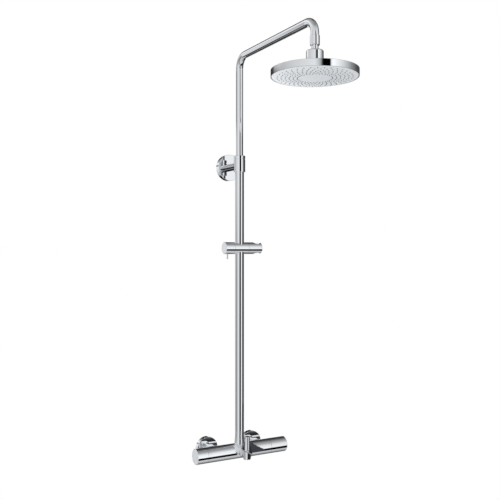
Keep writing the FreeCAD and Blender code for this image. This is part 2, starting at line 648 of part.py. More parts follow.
def handle(name, cartridge, button, side, length, bore, depth):
    seam, along = ("-bodyLeft", "-X") if side == "left" else ("bodyRight", "+X")
    at = (seam, "-barReach", "0")
    nose = f"noseGap - {depth}"
    node(cartridge, turned(f"{name}_cartridge", [
        ("0", nose),
        (f"{bore} - cartridgeGap - noseStep", nose),
        (f"{bore} - cartridgeGap - noseStep", f"{nose} + cartridgeNose"),
        (f"{bore} - cartridgeGap", f"{nose} + cartridgeNose"),
        (f"{bore} - cartridgeGap", "-cartridgeSink"),
        ("neckRadius", "-cartridgeSink"),
        ("neckRadius", "neckLength"),
        ("spindleRadius + runClear", "neckLength"),
        ("spindleRadius + runClear", "-spindleDepth - 1"),
        ("0", "-spindleDepth - 1"),
    ], at, along))
    node(f"{name}_stop_ring", turned(f"{name}_stop", [
        ("neckRadius + seatClear", "0.1 - cartridgeSink"),
        (f"{bore} - cartridgeGap", "0.1 - cartridgeSink"),
        (f"{bore} - cartridgeGap", "0.2"),
        ("stopRing", "0.2"),
        ("stopRing", "stopThickness"),
        ("neckRadius + seatClear", "stopThickness"),
    ], at, along))
    node(f"{name}_spindle", turned(f"{name}_shaft", [
        ("0", "-spindleDepth"),
        ("spindleRadius", "-spindleDepth"),
        ("spindleRadius", "hubStation + hubThickness"),
        ("spindleRadius + 2", "hubStation + hubThickness"),
        ("spindleRadius + 2", "hubStation + hubThickness + collarLength"),
        ("0", "hubStation + hubThickness + collarLength"),
    ], at, along))
    node(f"{name}_hub", turned(f"{name}_web", [
        ("spindleRadius + seatClear", "neckLength + 1"),
        ("hubBoss", "neckLength + 1"),
        ("hubBoss", "hubStation"),
        ("handleBore - seatClear", "hubStation"),
        ("handleBore - seatClear", "hubStation + hubThickness"),
        ("spindleRadius + seatClear", "hubStation + hubThickness"),
    ], at, along))
    node(f"{name}_handle", turned(f"{name}_sleeve", [
        ("handleBore", "partGap"),
        ("barRadius", "partGap"),
        ("barRadius", f"{length} - handleBevel"),
        ("barRadius - handleBevel", length),
        ("handleBore", length),
    ], at, along))
    node(f"{name}_cap", disc(f"{name}_lid", "handleBore - seatClear",
                             f"{length} - capInset - handleCap", f"{length} - capInset", at, along))
    skin = rod(f"{name}_button_skin", "barRadius", "4 * buttonLength",
               (f"{seam} - 2 * buttonLength", "-barReach", "0"), "+X")
    box = button_box(f"{name}_button_box", side, "0", "barRadius - buttonHeight", "barRadius + 2")
    node(button, shared(f"{name}_button", box, skin))


# %% Spout, aerator and diverter

def spout():
    plan = padded("spout_plan", "XY_Plane", [
        ("-spoutHalf", "-spoutBack"),
        ("0", "-spoutTip"),
        ("spoutHalf", "-spoutBack"),
    ], "4 * barRadius", column_at("-2 * barRadius"))
    skirt_top = "spoutTipTop + spoutFall * (spoutTip - spoutSkirt)"
    side = padded("spout_side", "YZ_Plane", [
        ("-spoutBack", "spoutBackTop"),
        ("-spoutBack", "-spoutDrop"),
        ("-spoutSkirt + skirtBevel", "-spoutDrop"),
        ("-spoutSkirt", "-spoutDrop + skirtBevel"),
        ("-spoutSkirt", f"{skirt_top} - spoutPlate"),
        ("-spoutTip", "spoutTipTop - spoutPlate"),
        ("-spoutTip", "spoutTipTop"),
    ], "4 * spoutHalf", COLUMN, midplane=True)
    front = padded("spout_front", "XZ_Plane", [
        ("-spoutHalf", "2 * barRadius"),
        ("-spoutHalf", "spoutLeanTop"),
        ("-spoutWaist", "-spoutLeanFoot"),
        ("-spoutWaist", "-2 * barRadius"),
        ("spoutWaist", "-2 * barRadius"),
        ("spoutWaist", "-spoutLeanFoot"),
        ("spoutHalf", "spoutLeanTop"),
        ("spoutHalf", "2 * barRadius"),
    ], "4 * spoutTip", COLUMN, midplane=True)
    wedge = shared("spout_wedge", shared("spout_outline", plan, side), front)

    axis = ("0", "-barReach - aeratorReach")
    housing = taper("aerator_housing", "aeratorFoot", "aeratorTop",
                    "knobFoot - spoutPlate + housingDrop + 1", (*axis, "-housingDrop"))
    bar_room = rod("spout_saddle", "barRadius + seatClear", "4 * spoutHalf",
                   ("-2 * spoutHalf", "-barReach", "0"), "+X")
    boss_room = rod("spout_boss_room", "bossRadius + seatClear", "2 * bossTop", COLUMN)
    pad_room = rod("spout_pad_room", "hosePad + partGap", "2 * barRadius",
                   ("hoseSide", "-barReach", "0"), "-Z")
    ledge = "-aeratorDrop + aeratorLength"
    bore = rod("aerator_seat", "aeratorBore", "aeratorLength + 1", (*axis, "-aeratorDrop - 1"))
    room = rod("diverter_room", "valveRoom", f"valveRoomTop - ({ledge}) + 1", (*axis, f"{ledge} - 1"))
    rod_hole = rod("diverter_hole", "diverterRod + runClear", "knobTop", (*axis, "valveRoomTop - 1"))
    spot_face = rod("knob_seat", "knobRadius + partGap", "knobTop", (*axis, "knobFoot - 0.3"))
    feed = rod("spout_waterway", "spoutBore", "aeratorReach - barRadius + 2",
               ("0", "-barReach - barRadius + 2", "spoutBoreHeight"), "-Y")
    node("spout", cut("spout_casting", joined("spout_solid", wedge, housing), bar_room, boss_room,
                      pad_room, bore, room, rod_hole, spot_face, feed))

    node("aerator_ring", ring("aerator_shell", "aeratorBore - aeratorWall - seatClear",
                              "aeratorBore - seatClear", "-aeratorDrop", ledge, (*axis, "0")))
    node("aerator_core", turned("aerator_insert", [
        ("1.2", "-aeratorDrop + 0.8"),
        ("aeratorBore - aeratorWall - 2 * seatClear", "-aeratorDrop + 0.8"),
        ("aeratorBore - aeratorWall - 2 * seatClear", f"{ledge} - 1"),
        ("1.2", f"{ledge} - 1"),
    ], (*axis, "0")))

    stem = turned("diverter_stem", [
        ("0", "diverterFoot"),
        ("diverterDisc", "diverterFoot"),
        ("diverterDisc", "diverterFoot + discThickness"),
        ("diverterRod", "diverterFoot + discThickness"),
        ("diverterRod", "knobFoot + 10"),
        ("0", "knobFoot + 10"),
    ], (*axis, "0"))
    node("diverter_valve", stem)
    node("diverter_seal", ring("diverter_rubber", "diverterRod + seatClear", "diverterDisc + 0.3",
                               "diverterFoot + discThickness",
                               "diverterFoot + discThickness + diverterSeal", (*axis, "0")))
    node("diverter_knob", turned("pull_knob", [
        ("diverterRod + seatClear", "knobFoot"),
        ("knobRadius", "knobFoot"),
        ("knobRadius", "knobTop - edgeBevel"),
        ("knobRadius - edgeBevel", "knobTop"),
        ("0", "knobTop"),
        ("0", "knobFoot + 10.2"),
        ("diverterRod + seatClear", "knobFoot + 10.2"),
    ], (*axis, "0")))


# %% Column: base nut, rubber ring and lower tube

def column():
    node("column_nut", turned("base_nut", [
        ("tubeRadius + seatClear", "bossTop"),
        ("nutFlare", "bossTop"),
        ("nutFlare", "bossTop + 1.5"),
        ("tubeRadius + nutWall", "nutTop - 0.5"),
        ("tubeRadius + nutWall - nutLip", "nutTop"),
        ("tubeRadius + seatClear", "nutTop"),
    ], COLUMN))
    node("column_seal", ring("spigot_ring", "waterway", "tubeRadius - tubeWall - seatClear",
                             "spigotTop", "spigotTop + sealHeight", COLUMN))
    node("lower_tube", ring("tube", "tubeRadius - tubeWall", "tubeRadius", "bossTop", "tubeTop",
                            COLUMN))


# %% Wall bracket

def wall_bracket():
    at = ("0", "0", "bracketHeight")
    node("bracket_rosette", rosette("bracket_cup", "plateRosette", "plateRosetteDepth",
                                    "armRodRadius + seatClear", at))
    plate = turned("plate_blank", [
        ("0", "0"),
        ("wallPlate", "0"),
        ("wallPlate", "wallPlateThickness"),
        ("wallBoss", "wallPlateThickness"),
        ("wallBoss", "wallBossDepth"),
        ("armRodRadius + seatClear", "wallBossDepth"),
        ("armRodRadius + seatClear", "armRodBack"),
        ("0", "armRodBack"),
    ], at, "-Y")
    holes = [rod(f"plate_hole_{side}", "screwHole", "wallPlateThickness + 2",
                 (f"{sign} * screwSpacing / 2", "1", "bracketHeight"), "-Y")
             for side, sign in (("left", -1), ("right", 1))]
    grub_station = "-(wallPlateThickness + wallBossDepth) / 2"
    grub_hole = rod("plate_grub_hole", "grubRadius + seatClear", "wallBoss + 2",
                    ("0", grub_station, "bracketHeight - wallBoss - 2"))
    node("bracket_plate", cut("plate", plate, *holes, grub_hole))
    node("bracket_screw", rod("grub_screw", "grubRadius", "wallBoss - armRodRadius - 0.6",
                              ("0", grub_station, "bracketHeight - wallBoss + 0.3")))

    blank = rod("rod_blank", "armRodRadius", "barReach - armRodBack - seatClear",
                ("0", "-armRodBack - seatClear", "bracketHeight"), "-Y")
    room = rod("rod_saddle", "collarRadius + seatClear", "4 * armRodRadius",
               column_at("bracketHeight - 2 * armRodRadius"))
    node("bracket_rod", cut("bracket_arm", blank, room))

    low, high = "bracketHeight - collarBelow", "tubeTop"
    node("bracket_collar", turned("collar", [
        ("tubeRadius + linerWall + 2 * seatClear", low),
        ("collarRadius - 0.6", low),
        ("collarRadius", f"{low} + 0.6"),
        ("collarRadius", high),
        ("tubeRadius + linerWall + 2 * seatClear", high),
    ], COLUMN))
    node("collar_liner", ring("liner", "tubeRadius + seatClear", "tubeRadius + linerWall + seatClear",
                              low, high, COLUMN))


# %% Shower arm

def shower_arm():
    node("swivel_bush", ring("bush", "pipeRadius + runClear", "tubeRadius - tubeWall - seatClear",
                             "bushBottom", "tubeTop - 0.1", COLUMN))
    node("swivel_ring", turned("ring_nut", [
        ("pipeRadius + seatClear", "tubeTop + 0.3"),
        ("ringNeck", "tubeTop + 0.3"),
        ("ringNeck", "bracketHeight + ringBottom"),
        ("collarRadius", "bracketHeight + ringBottom"),
        ("collarRadius", "bracketHeight + ringTop - edgeBevel"),
        ("collarRadius - edgeBevel", "bracketHeight + ringTop"),
        ("pipeRadius + seatClear", "bracketHeight + ringTop"),
    ], COLUMN))
    rings = [ring(f"pipe_ring_{count}", "pipeRadius + 0.02", "tubeRadius - tubeWall - 0.1",
                  f"pipeStart + 4 + {count} * ringPitch",
                  f"pipeStart + 4 + {count} * ringPitch + ringHeight", COLUMN) for count in (0, 1)]
    node("pipe_seals", group("pipe_rings", *rings))

    pipe = start_body("pipe")
    run = start_sketch(pipe, "YZ_Plane")
    rise = "armHeight - pipeStart"
    trace(run, [
        ("0", "0"),
        ("0", f"{rise} - bendRadius", "bendRadius", "left"),
        ("-bendRadius", rise),
        ("bendRadius - armReach", rise, "bendRadius", "left"),
        ("-armReach", f"{rise} - bendRadius"),
        ("-armReach", "pipeEnd - pipeStart"),
    ], closed=False)
    section = start_sketch(pipe, "XY_Plane")
    add_circle(section, "pipeRadius")
    add_circle(section, "pipeRadius - pipeWall")
    sweep = pipe.newObject("PartDesign::AdditivePipe", "pipe_sweep")
    sweep.Profile = section
    sweep.Spine = (run, [f"Edge{index}" for index in range(1, 6)])
    node("shower_arm", place(pipe, column_at("pipeStart")))


# %% Ball joint between the arm and the head

HEAD = ("0", "-barReach - armReach", "0")


def ball_joint():
    node("arm_nut", turned("end_nut", [
        ("stubNeck + 0.5 + seatClear", "armNutBottom"),
        ("armNutRadius - 1", "armNutBottom"),
        ("armNutRadius", "armNutBottom + 1"),
        ("armNutRadius", "armNutTop - 0.6"),
        ("armNutRadius - 0.6", "armNutTop"),
        ("pipeRadius + seatClear", "armNutTop"),
        ("pipeRadius + seatClear", "pipeEnd"),
        ("stubNeck + 0.5 + seatClear", "pipeEnd"),
    ], HEAD))
    node("ball_stub", turned("stub", [
        ("stubBore", "ballHeight - sqrt(ballRadius^2 - stubBore^2)", "ballRadius", "left"),
        ("stubNeck", "ballHeight + sqrt(ballRadius^2 - stubNeck^2)"),
        ("stubNeck", "armNutBottom - 2"),
        ("stubNeck + 0.5", "armNutBottom - 1"),
        ("stubNeck + 0.5", "pipeEnd - 0.1"),
        ("stubBore", "pipeEnd - 0.1"),
    ], HEAD))
    inner, outer = "(ballRadius + runClear)", "(ballRadius + runClear + seatWall)"
    node("ball_seat", turned("seat", [
        (f"sqrt({inner}^2 - seatHalf^2)", "ballHeight - seatHalf"),
        (f"sqrt({outer}^2 - seatHalf^2)", "ballHeight - seatHalf", outer, "left"),
        (f"sqrt({outer}^2 - seatHalf^2)", "ballHeight + seatHalf"),
        (f"sqrt({inner}^2 - seatHalf^2)", "ballHeight + seatHalf", inner, "right"),
    ], HEAD))


# %% Rainfall head

def face_drop(radius):
    """How far the spray face lies below its edge at a radius."""
    edge, bulge = number("plateRadius - 1.2"), number("faceBulge")
    sphere = (edge ** 2 + bulge ** 2) / (2 * bulge)
    return math.sqrt(sphere ** 2 - radius ** 2) - (sphere - bulge)


def head():
    at = ("0", "-barReach - armReach", "faceHeight")
    ball = "(ballHeight - faceHeight)"
    cavity = "(ballRadius + seatWall + 2 * runClear)"
    collar_foot = "headRise + 0.1"
    step = "(spigotHeight + 4)"
    lip = f"({ball} + collarLip)"
    collar = turned("collar_nut", [
        ("spigotRadius + seatClear", collar_foot),
        ("headCollar", collar_foot),
        ("headCollar", "collarTop"),
        ("collarMouth", "collarTop"),
        (f"sqrt({cavity}^2 - collarLip^2)", lip, cavity, "right"),
        (f"sqrt({cavity}^2 - ({ball} - {step})^2)", step),
        ("spigotRadius + seatClear", step),
    ], at)
    round_edge(collar, "collarRounding", "headCollar", "collarTop")
    node("head_collar", collar)

    bowl_low = f"({ball} - sqrt({cavity}^2 - waterway^2))"
    shell = turned("shell", [
        ("headRadius", "0"),
        ("headRadius", "rimHeight"),
        ("headCollar + 1.5", "headRise"),
        ("spigotRadius", "headRise"),
        ("spigotRadius", "spigotHeight"),
        (f"sqrt({cavity}^2 - ({ball} - spigotHeight)^2)", "spigotHeight", cavity, "right"),
        ("waterway", bowl_low),
        ("waterway", "headRise - shellWall"),
        ("headCollar + 1.5", "headRise - shellWall"),
        ("headRadius - shellWall", "rimHeight - shellWall"),
        ("headRadius - shellWall", "0"),
    ], at)
    round_edge(shell, "edgeBevel", "headRadius", "rimHeight")
    node("head_shell", shell)

    face_sphere = "((plateRadius - 1.2)^2 + faceBulge^2) / (2 * faceBulge)"
    plate = turned("plate_turned", [
        ("0", "-faceBulge", face_sphere, "left"),
        ("plateRadius - 1.2", "0"),
        ("plateRadius", "0.6"),
        ("plateRadius", "plateThickness"),
        ("0", "plateThickness"),
    ], at)
    air_holes = []
    for index, (x, y) in enumerate(((1, 1), (-1, 1), (-1, -1), (1, -1))):
        air_holes.append(rod(f"air_hole_{index}", "airHole", "plateThickness + faceBulge + 2", (
            f"{x} * airHoleCircle / sqrt(2)",
            f"-barReach - armReach + {y} * airHoleCircle / sqrt(2)",
            "faceHeight - faceBulge - 1")))
    node("spray_plate", cut("plate_drilled", plate, *air_holes))

    gasket_top = "plateThickness + gasketHeight"
    node("head_gasket", ring("gasket", "plateRadius - gasketWidth", "plateRadius",
                             "plateThickness", gasket_top, at))
    node("distributor", ring("distributor_disc", "6", "plateRadius", gasket_top,
                             f"{gasket_top} + distributorHeight", at))
    node("spray_nozzles", nozzles(at))


def nozzles(at):
    """Rings of soft nozzles, each standing on the bulging face where its inner side touches it."""
    root, tip, length = number("nozzleRadius"), number("nozzleTip"), number("nozzleLength")
    rings, per_ring = int(number("nozzleRings")), int(number("nozzlesPerRing"))
    inner, outer = number("nozzleInner"), number("nozzleOuter")
    cones = []
    for level in range(rings):
        radius = inner + (outer - inner) * level / (rings - 1)
        height = -face_drop(radius - root) - 0.01
        for count in range(per_ring):
            turn = math.radians(360 * count / per_ring + number("nozzleTwist") * level)
            foot = Vector(radius * math.cos(turn), radius * math.sin(turn), height)
            cones.append(Part.makeCone(root, tip, length, foot, Vector(0, 0, -1)))
    feature = doc.addObject("Part::Feature", "nozzle_field")
    feature.Shape = Part.makeCompound(cones)
    return place(feature, at)


# %% Slider that carries the hand shower

def slider():
    at = column_at("sliderHeight")
    bush_outer = "(tubeRadius + runClear + bushWall)"
    column_hole = f"({bush_outer} + runClear)"
    node("slider_bush", ring("sleeve", "tubeRadius + runClear", bush_outer, "-bushHalf", "bushHalf",
                             at))

    blank = disc("slider_blank", "sliderRadius", "-sliderLeft", "sliderRight", at, "+X")
    tube_hole = rod("slider_hole", column_hole, "4 * sliderRadius",
                    column_at("sliderHeight - 2 * sliderRadius"))
    screw_hole = rod("slider_screw_hole", "clampScrew + runClear", "sliderLeft + 1", at, "-X")
    head_inner = f"({column_hole} + 0.4)"
    pivot_seat = rod("slider_pivot_seat", "pivotHead + seatClear",
                     f"{head_inner} + pivotHeadThickness", at, "+X")
    pivot_hole = rod("slider_pivot_hole", "pivotRadius + seatClear", "sliderRight + 1", at, "+X")
    node("slider_body", cut("slider_block", blank, tube_hole, screw_hole, pivot_seat, pivot_hole))
    node("holder_pivot", turned("pivot", [
        ("0", head_inner),
        ("pivotHead", head_inner),
        ("pivotHead", f"{head_inner} + pivotHeadThickness"),
        ("pivotRadius", f"{head_inner} + pivotHeadThickness"),
        ("pivotRadius", "pivotEnd"),
        ("0", "pivotEnd"),
    ], at, "+X"))

    knob_seam = "sliderLeft + partGap"
    knob_end = "sliderLeft + clampLength"
    knob = turned("knob_blank", [
        ("clampScrew + seatClear", knob_seam),
        ("sliderRadius", knob_seam),
        ("sliderRadius", f"{knob_end} - sliderBevel"),
        ("sliderRadius - sliderBevel", knob_end),
        ("0", knob_end),
        ("0", "clampScrewEnd + 0.2"),
        ("clampScrew + seatClear", "clampScrewEnd + 0.2"),
    ], at, "-X")
    lever_top = "sliderHeight - sliderRadius + leverSeat"
    lever_hole = rod("lever_hole", "leverRadius + seatClear", "leverSeat + 1",
                     ("-leverStation", "-barReach", lever_top), "-Z")
    node("clamp_knob", cut("knob_drilled", knob, lever_hole))
    node("clamp_lever", turned("lever", [
        ("0", "0.1"),
        ("leverRadius", "0.1"),
        ("leverRadius", "leverSeat + leverLength - 0.5"),
        ("leverRadius - 0.5", "leverSeat + leverLength"),
        ("0", "leverSeat + leverLength"),
    ], ("-leverStation", "-barReach", lever_top), "-Z"))
    node("clamp_screw", disc("screw", "clampScrew", f"{column_hole} + 0.3", "clampScrewEnd", at,
                             "-X"))

    holder_seam = "sliderRight + partGap"
    holder_end = "sliderRight + holderLength"
    holder = turned("holder_blank", [
        ("pivotRadius + runClear", holder_seam),
        ("sliderRadius", holder_seam),
        ("sliderRadius", f"{holder_end} - sliderBevel"),
        ("sliderRadius - sliderBevel", holder_end),
        ("0", holder_end),
        ("0", "pivotEnd + 0.5"),
        ("pivotRadius + runClear", "pivotEnd + 0.5"),
    ], at, "+X")
    foot = ("socketReach", "-barReach", "sliderHeight - sliderRadius")
    liner_gap = "(socketLiner + seatClear)"
    socket = taper("holder_socket", f"socketFoot + {liner_gap}", f"socketTop + {liner_gap}",
                   "2 * sliderRadius", foot)
    slot = slot_box("holder_slot")
    node("handset_holder", cut("holder_cut", holder, socket, slot))

    sleeve = shared("liner_skin",
                    taper("liner_outer", "socketFoot + socketLiner", "socketTop + socketLiner",
                          "2 * sliderRadius", foot),
                    rod("liner_trim", "sliderRadius - 0.4", "holderLength",
                        (holder_seam, "-barReach", "sliderHeight"), "+X"))
    node("holder_liner", cut("liner_cut", sleeve,
                             taper("liner_bore", "socketFoot", "socketTop", "2 * sliderRadius", foot),
                             slot_box("liner_slot")))


def slot_box(name):
    """The way in for the hose, from the socket out through the holder's end."""
    return block(name, ("holderLength", "socketSlot", "4 * sliderRadius"),
                 ("socketReach", "-barReach - socketSlot / 2", "sliderHeight - 2 * sliderRadius"))


# %% Build, check and write

wall_connections()
mixer_body()
handle("temperature", "thermostat_cartridge", "safety_button", "left", "temperatureLength",
       "thermostatBore", "thermostatDepth")
handle("flow", "flow_cartridge", "eco_button", "right", "flowLength", "valveBore", "valveDepth")
spout()
column()
wall_bracket()
shower_arm()
ball_joint()
head()
slider()

doc.recompute()

faults = [thing.Label for thing in doc.Objects
          if {"Invalid", "Error"} & set(thing.State)]
faults += [part.Label for part in NODES if part.Shape.isNull() or not part.Shape.isValid()]
if faults:
    raise RuntimeError(f"failed: {', '.join(faults)}")

os.makedirs("parts", exist_ok=True)
for part in NODES:
    part.Shape.exportStep(os.path.join("parts", f"{part.Label}.step"))
print(f"{len(NODES)} sub-parts written")
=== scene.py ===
# %% [markdown]
# # A rainfall shower column, dressed over its CAD frame
# A wall shower of this kind is nearly all chromed brass: a thermostatic mixer bar at the foot, a
# tall tube, a slider for the hand shower, a wall bracket, and an arm that carries the broad head.
# Its shapes are already exact in CAD, so the frame is loaded first and kept. What is added here
# is the finish of every piece, and the small repeated detail that CAD leaves plain.

# %% Load the frame
import math

import bmesh
import bpy
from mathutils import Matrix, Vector


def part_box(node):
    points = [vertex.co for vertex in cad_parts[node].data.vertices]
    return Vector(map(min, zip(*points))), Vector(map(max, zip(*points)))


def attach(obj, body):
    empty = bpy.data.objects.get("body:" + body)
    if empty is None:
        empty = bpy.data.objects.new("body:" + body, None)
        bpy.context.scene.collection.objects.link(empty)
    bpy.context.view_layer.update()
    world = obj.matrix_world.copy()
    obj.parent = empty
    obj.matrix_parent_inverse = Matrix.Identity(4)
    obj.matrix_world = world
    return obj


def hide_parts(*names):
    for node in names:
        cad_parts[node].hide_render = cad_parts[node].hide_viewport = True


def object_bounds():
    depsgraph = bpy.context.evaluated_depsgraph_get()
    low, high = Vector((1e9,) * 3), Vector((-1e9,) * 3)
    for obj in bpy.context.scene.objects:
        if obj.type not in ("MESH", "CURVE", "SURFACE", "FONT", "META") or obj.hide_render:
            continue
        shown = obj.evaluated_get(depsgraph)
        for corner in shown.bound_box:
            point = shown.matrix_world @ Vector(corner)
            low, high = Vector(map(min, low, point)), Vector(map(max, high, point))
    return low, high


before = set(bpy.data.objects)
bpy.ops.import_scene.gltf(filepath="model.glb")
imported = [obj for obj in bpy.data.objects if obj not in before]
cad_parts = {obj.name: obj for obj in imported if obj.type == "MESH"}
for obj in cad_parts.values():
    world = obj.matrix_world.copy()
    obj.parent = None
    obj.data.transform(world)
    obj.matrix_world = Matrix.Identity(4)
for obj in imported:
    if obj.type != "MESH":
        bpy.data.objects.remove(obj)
cad_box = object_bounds()
MM = 0.001

# %% [markdown]
# # Writing shader maths as sums
# A finish is a small calculation done at every point of a surface. Blender stores it as nodes
# joined by wires. A thin class around a node's output lets the calculation be written as a plain
# expression, and each operator adds the Math node that does it.

# %% A wire that can be reckoned with


class Wire:
    """The output of a node, used like a number."""

    def __init__(self, bench, socket):
        self.bench, self.socket = bench, socket

    def math(self, operation, *others, clamp=False):
        return self.bench.node("ShaderNodeMath", {"operation": operation, "use_clamp": clamp},
                               dict(enumerate((self, *others))))

    def __add__(self, other):
        return self.math("ADD", other)

    def __sub__(self, other):
        return self.math("SUBTRACT", other)

    def __rsub__(self, other):
        return self.bench.node("ShaderNodeMath", {"operation": "SUBTRACT"}, {0: other, 1: self})

    def __mul__(self, other):
        return self.math("MULTIPLY", other)

    def __truediv__(self, other):
        return self.math("DIVIDE", other)

    def __rtruediv__(self, other):
        return self.bench.node("ShaderNodeMath", {"operation": "DIVIDE"}, {0: other, 1: self})

    def __pow__(self, other):
        return self.math("POWER", other)

    def __gt__(self, other):
        return self.math("GREATER_THAN", other)

    def __lt__(self, other):
        return self.math("LESS_THAN", other)

    __radd__ = __add__
    __rmul__ = __mul__

    def between(self, low, high):
        """0 at low and 1 at high, straight in between and flat outside."""
        return ((self - low) / (high - low)).math("ADD", 0.0, clamp=True)


class Bench:
    """A node tree on the workbench. node() adds one node and gives back one of its outputs."""

    def __init__(self, tree):
        self.tree = tree

    def node(self, kind, settings=None, sockets=None, output=0):
        made = self.tree.nodes.new(kind)
        for name, value in (settings or {}).items():
            if name == "stops":
                self.set_stops(made.color_ramp, value)
            else:
                setattr(made, name, value)
        for key, value in (sockets or {}).items():
            socket = made.inputs[key] if isinstance(key, int) else next(
                s for s in made.inputs if key in (s.identifier, s.name))
            if isinstance(value, Wire):
                self.tree.links.new(value.socket, socket)
            else:
                socket.default_value = value
        return None if output is None else Wire(self, made.outputs[output])

    @staticmethod
    def set_stops(ramp, stops):
        while len(ramp.elements) > 1:
            ramp.elements.remove(ramp.elements[-1])
        for count, (place, grey) in enumerate(stops):
            stop = ramp.elements[0] if count == 0 else ramp.elements.new(place)
            stop.position = place
            stop.color = (*grey, 1) if isinstance(grey, tuple) else (grey, grey, grey, 1)

    def place(self, scale=(1, 1, 1), shift=(0, 0, 0)):
        """The point on the object, in metres, stretched and shifted."""
        here = self.node("ShaderNodeTexCoord", output="Object")
        return self.node("ShaderNodeMapping", {}, {
            "Vector": here, "Scale": scale, "Location": shift})

    def noise(self, where, scale, detail=2.0, roughness=0.5):
        return self.node("ShaderNodeTexNoise", {}, {
            "Vector": where, "Scale": scale, "Detail": detail, "Roughness": roughness})

    def mix(self, factor, first, second):
        """Two colours mixed."""
        return self.node("ShaderNodeMix", {"data_type": "RGBA"}, {
            "Factor_Float": factor, "A_Color": first, "B_Color": second}, output=2)

    def bump(self, height, depth):
        return self.node("ShaderNodeBump", {}, {"Distance": depth, "Height": height})

    def parts(self, where):
        """The x, y and z of a vector, as three wires."""
        split = self.node("ShaderNodeSeparateXYZ", {}, {0: where}).socket.node
        return [Wire(self, out) for out in split.outputs]

    def into(self, wire, kind, key):
        """Joins a wire to the node of this kind that the tree came with."""
        end = next(node for node in self.tree.nodes if node.bl_idname == kind)
        self.tree.links.new(wire.socket, end.inputs[key])


def finish(name, recipe, **constants):
    """A material: recipe(bench) gives what varies over the surface, and constants what doesn't."""
    material = bpy.data.materials.new(name)
    material.use_nodes = True
    bench = Bench(material.node_tree)
    shader = material.node_tree.nodes["Principled BSDF"]
    for key, value in constants.items():
        shader.inputs[key.replace("_", " ")].default_value = value
    for key, wire in recipe(bench).items():
        material.node_tree.links.new(wire.socket, shader.inputs[key])
    return material


print("shader maths ready")

# %% [markdown]
# # Chrome
# Decorative chrome is a bright, faintly blue metal, a mirror with two small faults: the polishing
# leaves haze that comes and goes, and the plated surface ripples by a few thousandths of a
# millimetre. Both are noise at different sizes. A tube is drawn through a die, so its haze lies in
# long streaks. A cast body has round patches.

# %% The chromes
CHROME = (0.93, 0.94, 0.955, 1)
CHROME_HAZED = (0.86, 0.875, 0.895, 1)


def chrome(streak=(1, 1, 1), low=0.012, high=0.04, ripple=0.004 * MM):
    """The recipe of a mirror plating whose haze is stretched by streak."""

    def recipe(bench):
        haze = bench.noise(bench.place(streak), 55, 4)
        grain = bench.noise(bench.place(streak), 900, 2)
        swell = bench.noise(bench.place(streak), 70, 1)
        patch = haze.between(0.35, 0.75)
        return {
            "Base Color": bench.mix(patch * 0.35, CHROME, CHROME_HAZED),
            "Roughness": patch * (high - low) + grain * 0.008 + low,
            "Normal": bench.bump(swell, ripple),
        }

    return recipe


cast_chrome = finish("cast_chrome", chrome(), Metallic=1)
tube_chrome = finish("drawn_tube_chrome", chrome((1, 1, 0.04)), Metallic=1)
turned_chrome = finish("turned_chrome", chrome((0.3, 0.3, 2.5), 0.012, 0.045), Metallic=1)
print("chromes:", cast_chrome.name, tube_chrome.name, turned_chrome.name)

# %% [markdown]
# The end discs of the handles and of the slider's knob are not mirrors: they are faced with a
# satin finish, and read as a flat pale grey. Very fine rings left by the lathe run round each
# disc, so the distance from its axis drives a tight wave.

# %% The satin discs
SATIN = (0.70, 0.725, 0.75, 1)
SATIN_PALE = (0.77, 0.79, 0.81, 1)
LATHE_PITCH = 0.45 * MM
SKIN = 0.15 * MM


def satin_disc(axis_z, axis_y, edge=None):
    """The recipe of a disc faced about an axis along X. Beyond x = edge it is mirror chrome."""

    def recipe(bench):
        here = bench.place()
        x, y, z = bench.parts(here)
        off_axis = ((y - axis_y) ** 2 + (z - axis_z) ** 2) ** 0.5
        rings = (off_axis * (math.tau / LATHE_PITCH)).math("SINE") * 0.5 + 0.5
        patch = bench.noise(here, 130, 3).between(0.3, 0.7)
        satin = {
            "Base Color": bench.mix(patch * 0.6 + rings * 0.2, SATIN, SATIN_PALE),
            "Roughness": patch * 0.08 + rings * 0.05 + 0.34,
            "Normal": bench.bump(rings, 0.01 * MM),
        }
        if edge is None:
            return satin
        faced = x < edge
        mirror = chrome()(bench)
        return {
            "Base Color": bench.mix(faced, mirror["Base Color"], satin["Base Color"]),
            "Roughness": satin["Roughness"] * faced + mirror["Roughness"] * (1 - faced),
            "Metallic": 1 - faced * 0.75,
            "Normal": mirror["Normal"],
        }

    return recipe


def middle(name):
    """The lowest corner of a node's box, and the box's middle."""
    low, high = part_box(name)
    return low, (low + high) / 2


AXIS = middle("temperature_handle")[1]
knob_low, knob_axis = middle("clamp_knob")
handle_cap = finish("satin_handle_cap", satin_disc(AXIS.z, AXIS.y), Metallic=0.25)
knob_chrome = finish("knob_chrome_satin_face",
                     satin_disc(knob_axis.z, knob_axis.y, knob_low.x + SKIN))
print("satin discs about y", round(AXIS.y / MM, 1), "mm")

# %% [markdown]
# # The metals and plastics inside and behind
# Brass is left as machined: fine turning marks and a warm tarnish in patches. Stainless steel has
# a straight brushed grain. The white technical plastic is matt, with a moulded grain, and rubber is
# nearly black with a dusty bloom.

# %% Brass, steel, plastic, rubber
BRASS, TARNISH = (0.80, 0.62, 0.33, 1), (0.60, 0.43, 0.20, 1)
STEEL, STEEL_PALE = (0.55, 0.56, 0.57, 1), (0.76, 0.77, 0.78, 1)
PLASTIC, PLASTIC_PALE = (0.80, 0.80, 0.78, 1), (0.90, 0.90, 0.88, 1)
RUBBER, BLOOM = (0.022, 0.022, 0.024, 1), (0.07, 0.07, 0.072, 1)
PLATING_ENDS = -2 * MM


